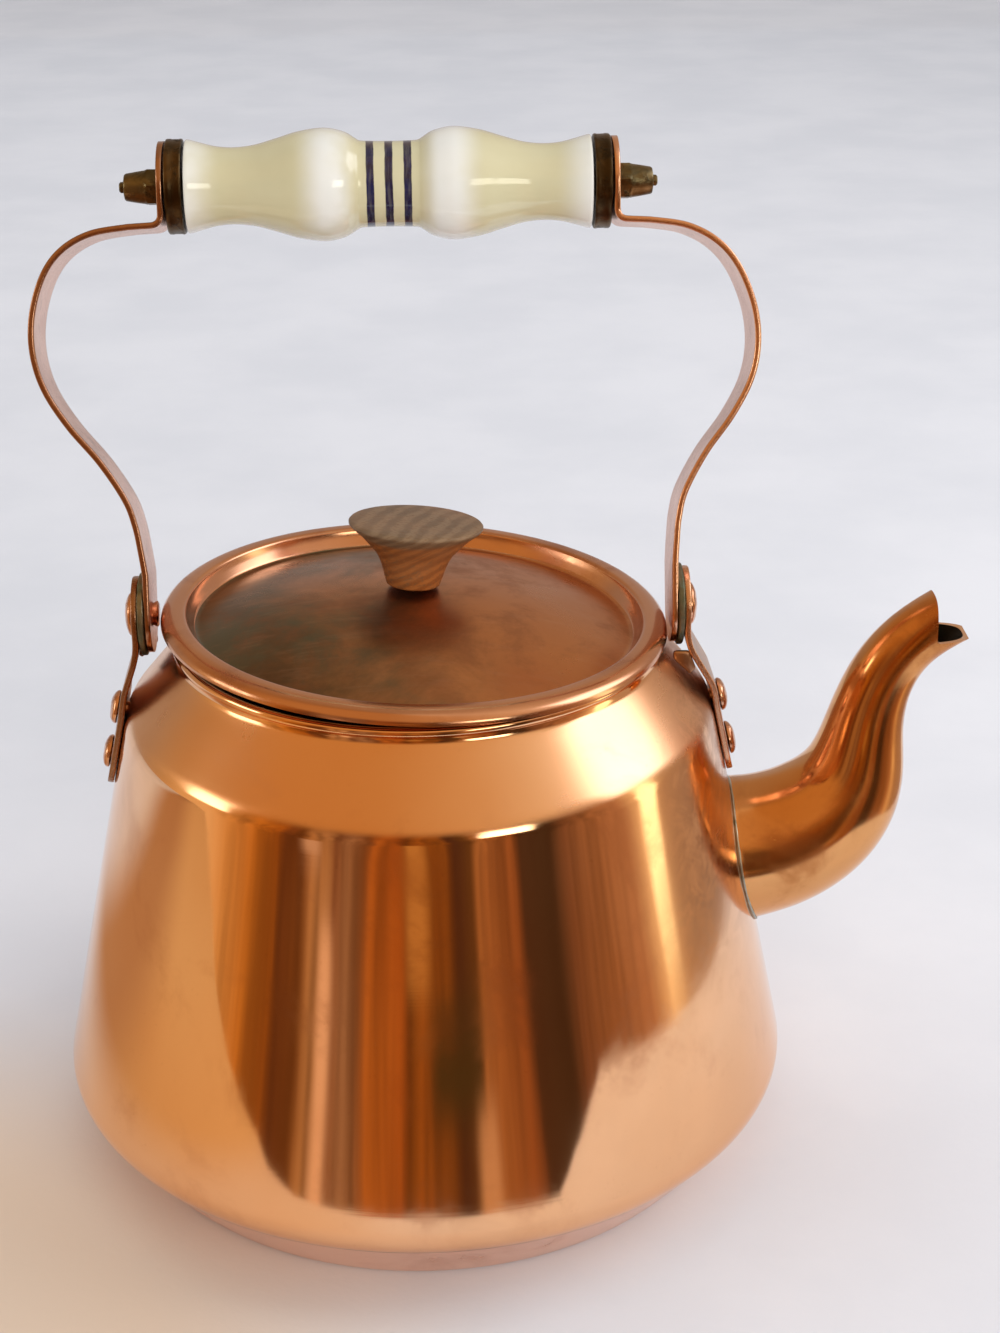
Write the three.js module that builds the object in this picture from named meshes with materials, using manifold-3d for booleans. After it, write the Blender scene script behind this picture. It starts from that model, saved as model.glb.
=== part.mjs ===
// Copper stovetop kettle with a lift-off lid, a gooseneck spout and a swinging bail handle.
// Millimetres, +Z up, +X towards the spout. The origin is the centre of the flat bottom.
import * as THREE from 'three';
import { mergeVertices } from 'three/addons/utils/BufferGeometryUtils.js';
import Module from 'manifold-3d';

const wasm = await Module();
wasm.setup();

// ---------------------------------------------------------------- driving dimensions

const GAP = 0.3; // clearance between pieces that touch on the real kettle
const SHEET = 1.2; // copper sheet of the body and base
const STRIP = 1.7; // copper strip of the brackets and straps

// Body, as radius and height of the corners of its outer profile.
const FOOT = [85.8, 0];
const KNUCKLE = [104.7, 22.6];
const SHOULDER = [81.6, 130.9];
const NECK_FOOT = [66.6, 149];
const NECK_TOP = 151.6;
const CORNER_ROUND = 6;
const FOOT_ROUND = 2;
const BODY_SEGMENTS = 44;
const BEAD_R = 1.5; // half thickness of the rolled bead round the mouth
const BEAD_RING_R = 66.2;
const SEAM_BELOW_KNUCKLE = 5; // distance down the band from the knuckle to the base seam
const LIP_TOP = 28; // top of the upturned lip of the base inside the shell

// Spout, as stations along its centreline: x, z and outer radius.
const SPOUT_STATIONS = [
  [80, 80.5, 22.3],
  [91, 81, 20.9],
  [101, 83, 20.2],
  [110.7, 87.6, 19.2],
  [118.6, 95, 17.6],
  [123.2, 104, 15],
  [124.9, 113.5, 12.4],
  [126.1, 122.5, 10.7],
  [128.6, 132, 9.6],
  [133, 140.6, 8.9],
  [139.6, 147.6, 8.4],
  [147.8, 152.9, 7.8],
  [154.5, 156.3, 7.4],
];
const SPOUT_WALL = 1.1;
const SPOUT_SIDES = 18;
const SPOUT_STEPS = 24;
const SPOUT_HOLE_R = 17; // hole in the body behind the spout
const BEAK_X = 143; // the upper half of the tip ends here
const BEAK_Z = 147.3; // level of the cut lower lip
const LIP_X = 152.6; // end of the lower lip
const TIP_SQUARE = 1.5; // how far the tip's section goes from round towards square
const SOLDER = 1.3;

// Lid, in its own frame: z is zero at the underside of the flange.
const LID_SEAT_Z = 156.2;
const LID_SHIFT = -0.8; // the loose lid sits a little away from the spout
const LID_TILT = THREE.MathUtils.degToRad(2.4); // and leans on the neck on the spout side
const LID_SHEET = 1;
const LID_R = 69.5;
const FLANGE_TOP = 2;
const FLANGE_INNER_R = 63.2;
const RIM_FROM_R = 65.2; // the flange starts to curve down here
const RIM_DROP = 1.3; // and its edge hangs this far down outside the neck bead
const VALLEY = [60.3, -3.5]; // radius and height of the root of the dome
const APEX_Z = 7.9;
const SCREW_HOLE_R = 2.9;

const KNOB_HEIGHT = 17.8;
const KNOB_TOP_R = 18.4;
const KNOB_LEAN_BACK = THREE.MathUtils.degToRad(5.5); // the turned knob stands a little crooked
const KNOB_LEAN_ASIDE = THREE.MathUtils.degToRad(1.6);
const KNOB_SHIFT = -0.8;
const SCREW_R = 1.6;
const KNOB_WASHER_TOP = -2.65; // below the knob's base

// Bail: straps, grip and pivots.
const PIVOT_Z = 157.8;
const GRIP_Z = 272.7; // height of the grip with the bail upright
const BAIL_REST = THREE.MathUtils.degToRad(17); // the bail stands leaning back by this much
const BAIL_OFF_CENTRE = -1.6; // sideways place of the bail at the pivots
const BAIL_LEAN = -3.7; // further sideways drift from the straps' feet to the grip
const STRAP_WIDTH = 21;
const STRAP_FOOT_TOP = 169; // the straps stand straight up to here
const STRAP_SHOULDER = 259; // and lean no further above here
const STRAP_INNER = 70.8; // half span between the straps at the pivots
const WASHER_THICK = 1.6;
const WASHER_R = 11.3;
const PIVOT_SHANK_R = 2.6;
const RUNNING = 0.4; // radial clearance of the turning straps on their pivots
const TAB_R = 12; // rounded top of the straps, round the tie rod
const TAB_X = 60.6; // half distance between the centres of the two tabs

// Centreline of one strap above its pivot, with the bail upright: half span and height.
const STRAP_LINE = [
  [72.3, 175.3],
  [73.3, 182.4],
  [75.5, 189.6],
  [81.4, 199.6],
  [89, 209.4],
  [94.6, 219.2],
  [96.9, 229],
  [96.2, 239],
  [92.6, 249.1],
  [87.2, 255.8],
  [79.3, 260],
  [69.4, 261.6],
];
const STRAP_BEND_R = 3.2; // bend at the foot of the tab

const BODY_RIVETS = [
  { name: 'upper', z: 129.5, seat: 1.4 },
  { name: 'lower', z: 116, seat: 0 },
];
const RIVET_HEAD_R = 4.7;
const RIVET_SHANK_R = 2.2;
const RIVET_TAIL_R = 3.2;
const BRACKET_FOOT_R = 8.6;
const STOP_TAB_TOP = 147.8; // the bail comes to rest on this tab
const TAB_CATCH = 1.4; // how far the tab reaches under the strap

// Grip, as distance from its middle and radius.
const GRIP_HALF = 54.3;
const GRIP_PROFILE = [
  [54.3, 11.8],
  [53.7, 12.4],
  [50.2, 11.5],
  [46, 10.5],
  [41.2, 10.2],
  [35.9, 10.8],
  [30.1, 12.4],
  [24.3, 14.1],
  [17.4, 15],
  [12.1, 14],
  [9.1, 12.3],
  [7.8, 11.6],
  [6.8, 11.4],
];
const GRIP_BORE_R = 4.2;
const FERRULE_R = 12.6;
const FERRULE_THICK = 4.6;
const ROD_R = 2.5;
const NUT_HEX_R = 5.2;

// ---------------------------------------------------------------- materials

const metal = (color, roughness) =>
  new THREE.MeshStandardMaterial({ color, roughness, metalness: 1 });
const plain = (color, roughness) =>
  new THREE.MeshStandardMaterial({ color, roughness, metalness: 0 });

const copper = metal(0xc8703c, 0.18);
const lidCopper = metal(0xa5653c, 0.4);
const stripCopper = metal(0xb26c4a, 0.35);
const oldBrass = metal(0x5b4a2e, 0.5);
const steel = metal(0x9a948c, 0.4);
const tin = metal(0xb4b5ae, 0.4);
const verdigris = plain(0x6f8378, 0.7);
const porcelain = plain(0xe9e0c8, 0.15);
const wood = plain(0x9a6538, 0.55);

// ---------------------------------------------------------------- solids

// A closed geometry as a manifold solid, with its faces turned outwards.
function solid(geometry) {
  const bare = geometry.clone();
  bare.deleteAttribute('normal');
  bare.deleteAttribute('uv');
  const merged = mergeVertices(bare, 1e-4);
  const vertProperties = merged.attributes.position.array;
  const triVerts = new Uint32Array(merged.index.array);
  const made = new wasm.Manifold(new wasm.Mesh({ numProp: 3, vertProperties, triVerts }));
  if (made.volume() > 0) {
    return made;
  }
  const turned = triVerts.slice();
  for (let i = 0; i < turned.length; i += 3) {
    turned[i + 1] = triVerts[i + 2];
    turned[i + 2] = triVerts[i + 1];
  }
  return new wasm.Manifold(new wasm.Mesh({ numProp: 3, vertProperties, triVerts: turned }));
}

function geometryOf(made) {
  const { vertProperties, triVerts } = made.getMesh();
  const geometry = new THREE.BufferGeometry();
  geometry.setAttribute('position', new THREE.BufferAttribute(vertProperties, 3));
  geometry.setIndex(new THREE.BufferAttribute(triVerts, 1));
  geometry.computeVertexNormals();
  return geometry;
}

function mesh(name, made, material) {
  const built = new THREE.Mesh(geometryOf(made), material);
  built.name = name;
  return built;
}

// A profile of [radius, height] points turned round the Z axis. It closes on itself or on the axis.
function turned(profile, segments) {
  const points = profile.map(([r, z]) => new THREE.Vector2(r, z));
  if (profile[0][0] > 0) {
    points.push(points[0].clone());
  }
  return solid(new THREE.LatheGeometry(points, segments).rotateX(Math.PI / 2));
}

// The same with the profile's axis laid along X, heights running towards +X.
function turnedOnX(profile, segments) {
  const points = profile.map(([r, x]) => new THREE.Vector2(r, x));
  if (profile[0][0] > 0) {
    points.push(points[0].clone());
  }
  return solid(new THREE.LatheGeometry(points, segments).rotateZ(-Math.PI / 2));
}

function rodOnX(radius, from, to, segments = 20) {
  const length = to - from;
  const bar = new THREE.CylinderGeometry(radius, radius, length, segments).rotateZ(Math.PI / 2);
  return solid(bar.translate((from + to) / 2, 0, 0));
}

// An outline of [x, z] points as a plate, from y = -half to y = half.
function plateAlongY(outline, half) {
  const shape = new THREE.Shape(outline.map(([x, z]) => new THREE.Vector2(x, z)));
  const plate = new THREE.ExtrudeGeometry(shape, { depth: 2 * half, bevelEnabled: false });
  return solid(plate.rotateX(Math.PI / 2).translate(0, half, 0));
}

// An outline of [y, z] points as a plate, from x = from to x = to.
function plateAlongX(outline, from, to) {
  const shape = new THREE.Shape(outline.map(([y, z]) => new THREE.Vector2(y, z)));
  const plate = new THREE.ExtrudeGeometry(shape, { depth: to - from, bevelEnabled: false });
  plate.applyMatrix4(new THREE.Matrix4().set(0, 0, 1, 0, 1, 0, 0, 0, 0, 1, 0, 0, 0, 0, 0, 1));
  return solid(plate.translate(from, 0, 0));
}

// ---------------------------------------------------------------- outlines

function arc(cx, cy, radius, fromDeg, toDeg, steps) {
  return Array.from({ length: steps + 1 }, (_, i) => {
    const angle = THREE.MathUtils.degToRad(fromDeg + ((toDeg - fromDeg) * i) / steps);
    return [cx + radius * Math.cos(angle), cy + radius * Math.sin(angle)];
  });
}

const along = (from, to, distance) => {
  const length = Math.hypot(to[0] - from[0], to[1] - from[1]);
  const share = distance / length;
  return [from[0] + (to[0] - from[0]) * share, from[1] + (to[1] - from[1]) * share];
};

// A corner rounded between its two neighbours by a quadratic curve of the given tangent length.
function rounded(before, corner, after, tangent, steps = 5) {
  const [a, b] = [along(corner, before, tangent), along(corner, after, tangent)];
  return Array.from({ length: steps + 1 }, (_, i) => {
    const t = i / steps;
    const mix = (k) => (1 - t) ** 2 * a[k] + 2 * t * (1 - t) * corner[k] + t ** 2 * b[k];
    return [mix(0), mix(1)];
  });
}

// An open line moved sideways, to its left by a positive distance, with mitred corners.
function shifted(line, distance) {
  return line.map((point, i) => {
    const before = line[Math.max(i - 1, 0)];
    const after = line[Math.min(i + 1, line.length - 1)];
    const normals = [[before, point], [point, after]]
      .filter(([a, b]) => a !== b)
      .map(([a, b]) => {
        const length = Math.hypot(b[0] - a[0], b[1] - a[1]);
        return [-(b[1] - a[1]) / length, (b[0] - a[0]) / length];
      });
    const [first, last] = [normals[0], normals[normals.length - 1]];
    const scale = distance / (1 + first[0] * last[0] + first[1] * last[1]);
    return [point[0] + (first[0] + last[0]) * scale, point[1] + (first[1] + last[1]) * scale];
  });
}

// ---------------------------------------------------------------- body

const seamPoint = along(KNUCKLE, FOOT, SEAM_BELOW_KNUCKLE);
const shellCorners = [seamPoint, KNUCKLE, SHOULDER, NECK_FOOT, [NECK_FOOT[0], NECK_TOP]];

// The shell's surface at a distance inside its outer face, from the base seam up to the neck.
function shellLine(inside) {
  const [seam, knuckle, shoulder, neckFoot, neckTop] = shifted(shellCorners, inside);
  return [
    seam,
    ...rounded(seam, knuckle, shoulder, CORNER_ROUND / 2, 4),
    ...rounded(knuckle, shoulder, neckFoot, CORNER_ROUND / 3, 2),
    ...rounded(shoulder, neckFoot, neckTop, 1, 1),
    neckTop,
  ];
}

// The space the body fills, grown by a distance, for cutting what is fitted against it.
function bodyEnvelope(grow) {
  const outer = shellLine(-grow);
  const bottom = FOOT[0] + grow;
  return turned([[0, 0], [bottom, 0], ...outer, [0, NECK_TOP]], BODY_SEGMENTS);
}

const spoutAxis = new THREE.Vector3(
  SPOUT_STATIONS[1][0] - SPOUT_STATIONS[0][0],
  0,
  SPOUT_STATIONS[1][1] - SPOUT_STATIONS[0][1],
).normalize();

function spoutHole() {
  const drill = new THREE.CylinderGeometry(SPOUT_HOLE_R, SPOUT_HOLE_R, 60, 28);
  drill.applyQuaternion(
    new THREE.Quaternion().setFromUnitVectors(new THREE.Vector3(0, 1, 0), spoutAxis),
  );
  return solid(drill.translate(SPOUT_STATIONS[1][0], 0, SPOUT_STATIONS[1][1]));
}

function bodyShell() {
  const bead = arc(BEAD_RING_R, NECK_TOP, BEAD_R, -74, 238, 7);
  const inner = shellLine(SHEET).reverse();
  const outer = shellLine(0);
  const profile = [...outer.slice(0, -1), ...bead, ...inner.slice(1)];
  let shell = turned(profile, BODY_SEGMENTS).subtract(spoutHole());
  for (const side of [1, -1]) {
    for (const rivet of BODY_RIVETS) {
      shell = shell.subtract(rivetHole(rivet, side));
    }
  }
  return mesh('body_shell', shell, copper);
}

function basePan() {
  const seamFoot = along(seamPoint, FOOT, GAP + 0.05);
  const outerBand = [...rounded([0, 0], FOOT, seamFoot, FOOT_ROUND, 3), seamFoot];
  const [foot, seam] = shifted([[0, 0], FOOT, KNUCKLE], SHEET).slice(1);
  const lipR = seamFoot[0] - 1.8;
  const innerBandTop = along(foot, seam, 17.5);
  const lip = [
    [lipR, seamFoot[1] + 0.9],
    [lipR, LIP_TOP],
    [lipR - SHEET, LIP_TOP],
    [lipR - SHEET, innerBandTop[1] + 1.2],
    innerBandTop,
  ];
  const floorLine = [foot, [0, SHEET]];
  return mesh('base_pan', turned([[0, 0], ...outerBand, ...lip, ...floorLine], BODY_SEGMENTS), copper);
}

// ---------------------------------------------------------------- spout

const spoutCurve = new THREE.CatmullRomCurve3(
  SPOUT_STATIONS.map(([x, z, r]) => new THREE.Vector3(x, r, z)),
);

// The share of a unit circle's radius that makes the spout's section, squarer near the tip.
function sectionShare(t, x, y) {
  const power = 2 + TIP_SQUARE * THREE.MathUtils.smoothstep(t, 0.8, 1);
  const sum = Math.abs(x) ** power + Math.abs(y) ** power;
  return sum > 0 ? sum ** (-1 / power) : 1;
}

// The gooseneck as a solid, its radius grown by a distance and its ends run on by some steps.
function gooseneck(grow, from = 0, to = 1) {
  const tube = new THREE.CylinderGeometry(1, 1, 1, SPOUT_SIDES, SPOUT_STEPS);
  const position = tube.attributes.position;
  for (let i = 0; i < position.count; i++) {
    const t = from + (to - from) * (position.getY(i) + 0.5);
    const inRange = THREE.MathUtils.clamp(t, 0, 1);
    const centre = spoutCurve.getPoint(inRange);
    const tangent = spoutCurve.getTangent(inRange).setY(0).normalize();
    const share = sectionShare(inRange, position.getX(i), position.getZ(i));
    const radius = (centre.y + grow) * share;
    const across = new THREE.Vector3(tangent.z, 0, -tangent.x);
    const place = centre
      .setY(0)
      .addScaledVector(tangent, (t - inRange) * 100)
      .addScaledVector(across, radius * position.getX(i))
      .addScaledVector(new THREE.Vector3(0, 1, 0), radius * position.getZ(i));
    position.setXYZ(i, place.x, place.y, place.z);
  }
  return solid(tube);
}

// What is cut off the tip: all above the lip beyond the beak, and all beyond the lip.
function beakCut() {
  const outline = [
    [BEAK_X, 200],
    ...arc(BEAK_X + 1.2, BEAK_Z + 1.2, 1.2, 180, 270, 3),
    [LIP_X, BEAK_Z],
    [LIP_X + 1, 120],
    [200, 120],
    [200, 200],
  ];
  return plateAlongY(outline, 30);
}

function spout() {
  const tube = gooseneck(0).subtract(gooseneck(-SPOUT_WALL, -0.05, 1.05));
  return mesh('spout', tube.subtract(bodyEnvelope(GAP)).subtract(beakCut()), copper);
}

function solderSeam() {
  const ring = gooseneck(SOLDER + GAP, 0, 0.3).intersect(bodyEnvelope(SOLDER + GAP));
  const inner = gooseneck(GAP, -0.05, 0.35);
  return mesh('spout_solder_seam', ring.subtract(bodyEnvelope(GAP)).subtract(inner), tin);
}

// ---------------------------------------------------------------- brackets and rivets

// Half span of the body's side wall at a height, and the slope of that wall.
const wallSlope = Math.atan2(KNUCKLE[0] - SHOULDER[0], SHOULDER[1] - KNUCKLE[1]);
const legX = (z) => SHOULDER[0] + GAP + 0.05 + (SHOULDER[1] - z) * Math.tan(wallSlope);

const earX = STRAP_INNER + STRIP + WASHER_THICK + 0.2; // half span between the ears, inside
const earShift = (side) => side * BAIL_OFF_CENTRE; // the ears follow the bail, which is off centre

// A bracket's solid, built on the +X side.
function bracketSolid(side) {
  const ear = earX + earShift(side);
  const inside = [
    [ear, PIVOT_Z + 12],
    [ear, 149.5],
    [legX(135.5), 135.5],
    [legX(104), 104],
  ];
  const bends = [
    inside[0],
    ...rounded(inside[0], inside[1], inside[2], 4, 4),
    ...rounded(inside[1], inside[2], inside[3], 3, 3),
    inside[3],
  ];
  const strip = plateAlongY([...bends, ...shifted(bends, STRIP).reverse()], STRAP_WIDTH / 2);
  const foot = BODY_RIVETS[1].z;
  const half = STRAP_WIDTH / 2;
  const outline = [
    ...arc(0, PIVOT_Z, half, 0, 180, 12),
    [-half, 147],
    ...arc(0, foot, BRACKET_FOOT_R, 188, 352, 8),
    [half, 147],
  ];
  return strip.intersect(plateAlongX(outline, 60, 100)).add(stopTab(ear));
}

// The tab bent inwards from the bracket's front edge. The strap's edge lands on it.
function stopTab(ear) {
  const tip = ear - WASHER_THICK - TAB_CATCH;
  const outline = [
    [tip, STOP_TAB_TOP - 2.4],
    [tip, STOP_TAB_TOP],
    [ear + 1.4, STOP_TAB_TOP],
    [ear + 3.4, STOP_TAB_TOP - 5.3],
    [ear + 1.8, STOP_TAB_TOP - 7.2],
  ];
  return plateAlongY(outline, STRIP / 2).translate([0, -(STRAP_WIDTH - STRIP) / 2, 0]);
}

function bracket(name, side) {
  let made = bracketSolid(side);
  made = made.subtract(rodOnX(PIVOT_SHANK_R + GAP, 60, 90).translate([0, 0, PIVOT_Z]));
  for (const rivet of BODY_RIVETS) {
    made = made.subtract(rivetHole(rivet, 1));
  }
  const built = mesh(name, made, stripCopper);
  built.rotation.z = side > 0 ? 0 : Math.PI;
  return built;
}

// Turns a solid made along X round to a rivet's place on the side wall.
function placedRivet(made, { z }, side) {
  const slope = THREE.MathUtils.radToDeg(wallSlope);
  const placed = made.rotate([0, -slope, 0]).translate([legX(z), 0, z]);
  return side > 0 ? placed : placed.rotate([0, 0, 180]);
}

function rivetHole(rivet, side) {
  return placedRivet(rodOnX(RIVET_SHANK_R + GAP, -8, 8), rivet, side);
}

const dome = (radius, height, base, steps = 4) =>
  Array.from({ length: steps + 1 }, (_, i) => {
    const angle = (Math.PI / 2) * (i / steps);
    return [radius * Math.cos(angle), base + height * Math.sin(angle)];
  });

function bodyRivet(name, rivet, side) {
  const headBase = STRIP + 0.15;
  const tail = -(SHEET + 2 * GAP + 0.1 + rivet.seat);
  const profile = [
    [0, tail - 1],
    [RIVET_TAIL_R - 0.5, tail - 1],
    [RIVET_TAIL_R, tail - 0.6],
    [RIVET_TAIL_R, tail],
    [RIVET_SHANK_R, tail],
    [RIVET_SHANK_R, headBase],
    [RIVET_HEAD_R - 0.3, headBase],
    ...dome(RIVET_HEAD_R, 2.2, headBase + 0.4),
  ];
  return mesh(name, placedRivet(turnedOnX(profile, 16), rivet, side), stripCopper);
}

// A pivot rivet, from its domed head outside the ear to its set end in the strap's countersink.
// The set end is flush with the strap, or stands proud of it by a distance.
function pivotRivet(name, side, proud) {
  const headBase = earX + STRIP + 0.15;
  const end = STRAP_INNER + 0.05;
  const setR = PIVOT_SHANK_R + 0.9;
  const flush = [[0, end], [setR, end]];
  const standing = [
    [0, end - proud],
    [setR + 0.4, end - proud],
    [setR + 0.7, end - proud / 3],
    [setR, end - GAP],
  ];
  const profile = [
    ...(proud > 0 ? standing : flush),
    [PIVOT_SHANK_R, STRAP_INNER + 1],
    [PIVOT_SHANK_R, headBase],
    [5.8, headBase],
    ...dome(6, 2, headBase + 0.3),
  ];
  const made = turnedOnX(profile, 20);
  const placed = side > 0 ? made : made.rotate([0, 0, 180]);
  return mesh(name, placed.translate([BAIL_OFF_CENTRE, 0, PIVOT_Z]), stripCopper);
}

function pivotWasher(name, side) {
  const from = STRAP_INNER + STRIP + 0.1;
  const made = rodOnX(WASHER_R, from, from + WASHER_THICK, 28).subtract(
    rodOnX(PIVOT_SHANK_R + GAP, from - 1, from + WASHER_THICK + 1),
  );
  const placed = side > 0 ? made : made.rotate([0, 0, 180]);
  return mesh(name, placed.translate([BAIL_OFF_CENTRE, 0, PIVOT_Z]), verdigris);
}

// ---------------------------------------------------------------- lid

// The rounded outside of the flange, from its top to its hanging edge.
function rimLine(steps) {
  return Array.from({ length: steps + 1 }, (_, i) => {
    const angle = (Math.PI / 2) * (i / steps);
    return [
      RIM_FROM_R + (LID_R - RIM_FROM_R) * Math.sin(angle),
      (FLANGE_TOP + RIM_DROP) * Math.cos(angle) - RIM_DROP,
    ];
  });
}

function lidPan() {
  const capAngle = 2 * Math.atan((APEX_Z - VALLEY[1]) / VALLEY[0]);
  const capR = VALLEY[0] / Math.sin(capAngle);
  const domeLine = (shrink) =>
    Array.from({ length: 7 }, (_, i) => {
      const reach = SCREW_HOLE_R + (VALLEY[0] - 1.2 - SCREW_HOLE_R) * (i / 6);
      const radius = capR - shrink;
      return [reach, APEX_Z - capR + Math.sqrt(radius ** 2 - reach ** 2)];
    });
  const top = [
    ...domeLine(0),
    [VALLEY[0] + 0.6, VALLEY[1] + 0.7],
    [FLANGE_INNER_R - 0.8, FLANGE_TOP - 1.2],
    ...arc(FLANGE_INNER_R + 0.4, FLANGE_TOP - 1.2, 1.2, 180, 90, 2),
    ...rimLine(5),
  ];
  const under = [
    [LID_R - 0.6, -RIM_DROP],
    [LID_R - 1.3, 0],
    [FLANGE_INNER_R + 1.2, 0],
    [FLANGE_INNER_R + 0.4, -0.8],
    [VALLEY[0] + 1.5, VALLEY[1] - 0.2],
    [VALLEY[0] + 0.3, VALLEY[1] - 0.9],
    ...domeLine(LID_SHEET).reverse().slice(1),
  ];
  return mesh('lid_pan', turned([...top, ...under], 44), lidCopper);
}

function knob() {
  const profile = [
    [0, 0],
    [6.9, 0],
    [7.3, 0.4],
    [8, 2.6],
    [8.9, 5.6],
    [10.4, 8.8],
    [12.9, 11.7],
    [15.2, 14.1],
    [17.6, 16.1],
    [KNOB_TOP_R, KNOB_HEIGHT - 0.9],
    [KNOB_TOP_R - 0.2, KNOB_HEIGHT - 0.3],
    [17.4, KNOB_HEIGHT],
    [0, KNOB_HEIGHT + 0.5],
  ];
  const pilot = solid(
    new THREE.CylinderGeometry(SCREW_R + GAP, SCREW_R + GAP, 26, 16).rotateX(Math.PI / 2),
  );
  return mesh('lid_knob', turned(profile, 28).subtract(pilot), wood);
}

function knobScrew() {
  const head = KNOB_WASHER_TOP - 0.8 - GAP;
  const profile = [
    [0, head - 2],
    [2.6, head - 1.8],
    [3.6, head - 0.8],
    [3.6, head],
    [SCREW_R, head],
    [SCREW_R, 11],
    [0, 12.4],
  ];
  return mesh('knob_screw', turned(profile, 14), steel);
}

function knobWasher() {
  const profile = [
    [2.1, KNOB_WASHER_TOP - 0.8],
    [6, KNOB_WASHER_TOP - 0.8],
    [6, KNOB_WASHER_TOP],
    [2.1, KNOB_WASHER_TOP],
  ];
  return mesh('knob_washer', turned(profile, 20), steel);
}

function lid() {
  const group = new THREE.Group();
  group.position.set(LID_SHIFT, 0, LID_SEAT_Z);
  group.rotation.y = LID_TILT;
  const onTop = new THREE.Group();
  onTop.position.set(KNOB_SHIFT, 0, APEX_Z + 0.85);
  onTop.rotation.set(-KNOB_LEAN_BACK, KNOB_LEAN_ASIDE, 0);
  onTop.add(knob(), knobScrew(), knobWasher());
  group.add(lidPan(), onTop);
  return group;
}

// ---------------------------------------------------------------- bail

// How far the bail stands off centre at a height, because it leans.
const lean = (z) => {
  const share = (z - STRAP_FOOT_TOP) / (STRAP_SHOULDER - STRAP_FOOT_TOP);
  return BAIL_OFF_CENTRE + BAIL_LEAN * THREE.MathUtils.clamp(share, 0, 1);
};

const strapCurve = new THREE.SplineCurve(STRAP_LINE.map(([x, z]) => new THREE.Vector2(x, z)));

function strapSolid(side) {
  const foot = STRAP_INNER + STRIP / 2;
  const bendZ = STRAP_LINE[STRAP_LINE.length - 1][1] + 0.3;
  const centre = [
    [foot, PIVOT_Z - 14],
    [foot, STRAP_FOOT_TOP],
    ...strapCurve.getPoints(36).map((p) => [p.x, p.y]),
    ...rounded([69, bendZ], [TAB_X, bendZ], [TAB_X, 300], STRAP_BEND_R, 4),
    [TAB_X, GRIP_Z + 14],
  ].map(([x, z]) => [x + side * lean(z), z]);
  const half = STRAP_WIDTH / 2;
  const outline = [...shifted(centre, STRIP / 2), ...shifted(centre, -STRIP / 2).reverse()];
  const rim = [
    ...arc(0, PIVOT_Z, half, 180, 360, 12),
    ...arc(0, GRIP_Z, TAB_R, -20, 200, 16),
  ];
  return plateAlongY(outline, 15).intersect(plateAlongX(rim, 40, 110));
}

function strap(name, side) {
  const pivot = [side * BAIL_OFF_CENTRE, 0, PIVOT_Z];
  const countersink = turnedOnX([
    [0, STRAP_INNER - 1],
    [PIVOT_SHANK_R + RUNNING + 2.5, STRAP_INNER - 1],
    [PIVOT_SHANK_R + RUNNING, STRAP_INNER + 1.1],
    [PIVOT_SHANK_R + RUNNING, STRAP_INNER + 4],
    [0, STRAP_INNER + 4],
  ], 24);
  const made = strapSolid(side)
    .subtract(countersink.translate(pivot))
    .subtract(rodOnX(ROD_R + GAP, 40, 80).translate([0, 0, GRIP_Z]));
  const built = mesh(name, made, stripCopper);
  built.rotation.z = side > 0 ? 0 : Math.PI;
  return built;
}

const ferruleFace = TAB_X - STRIP / 2 - GAP; // outer face of a ferrule, from the grip's middle

function ferrule(name, side) {
  const inner = ferruleFace - FERRULE_THICK;
  const bossR = GRIP_BORE_R - RUNNING;
  const profile = [
    [ROD_R + GAP, inner - 5],
    [bossR, inner - 5],
    [bossR, inner],
    [FERRULE_R - 0.5, inner],
    [FERRULE_R, inner + 0.5],
    [FERRULE_R - 0.2, ferruleFace - 0.6],
    [FERRULE_R - 0.8, ferruleFace],
    [ROD_R + GAP, ferruleFace],
  ];
  const made = turnedOnX(profile, 28);
  const placed = side > 0 ? made : made.rotate([0, 0, 180]);
  return mesh(name, placed.translate([lean(GRIP_Z), 0, GRIP_Z]), oldBrass);
}

const nutFace = TAB_X + STRIP / 2 + GAP; // inner face of a cap nut

function capNut(name, side) {
  const hexLength = 3.4;
  const hex = rodOnX(NUT_HEX_R, nutFace, nutFace + hexLength, 6);
  const chamfer = turnedOnX([
    [0, nutFace],
    [NUT_HEX_R - 0.1, nutFace],
    [NUT_HEX_R + 0.2, nutFace + 0.8],
    [NUT_HEX_R + 0.2, nutFace + hexLength - 0.8],
    [NUT_HEX_R - 0.7, nutFace + hexLength],
    [0, nutFace + hexLength],
  ], 18);
  const cap = turnedOnX([
    [0, nutFace + 1],
    [4.6, nutFace + 1],
    [4.5, nutFace + hexLength + 0.2],
    [3.6, nutFace + 9],
    [2.3, nutFace + 9.3],
    [1.5, nutFace + 9.4],
    [1.3, nutFace + 10.5],
    [0, nutFace + 10.6],
  ], 14);
  const made = hex
    .intersect(chamfer)
    .add(cap)
    .subtract(rodOnX(ROD_R + GAP, nutFace - 1, nutFace + 6));
  const placed = side > 0 ? made : made.rotate([0, 0, 180]);
  return mesh(name, placed.translate([lean(GRIP_Z), 0, GRIP_Z]), oldBrass);
}

function tieRod() {
  const end = nutFace + 5.4;
  const made = rodOnX(ROD_R, -end, end, 16).translate([lean(GRIP_Z), 0, GRIP_Z]);
  return mesh('tie_rod', made, steel);
}

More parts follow.
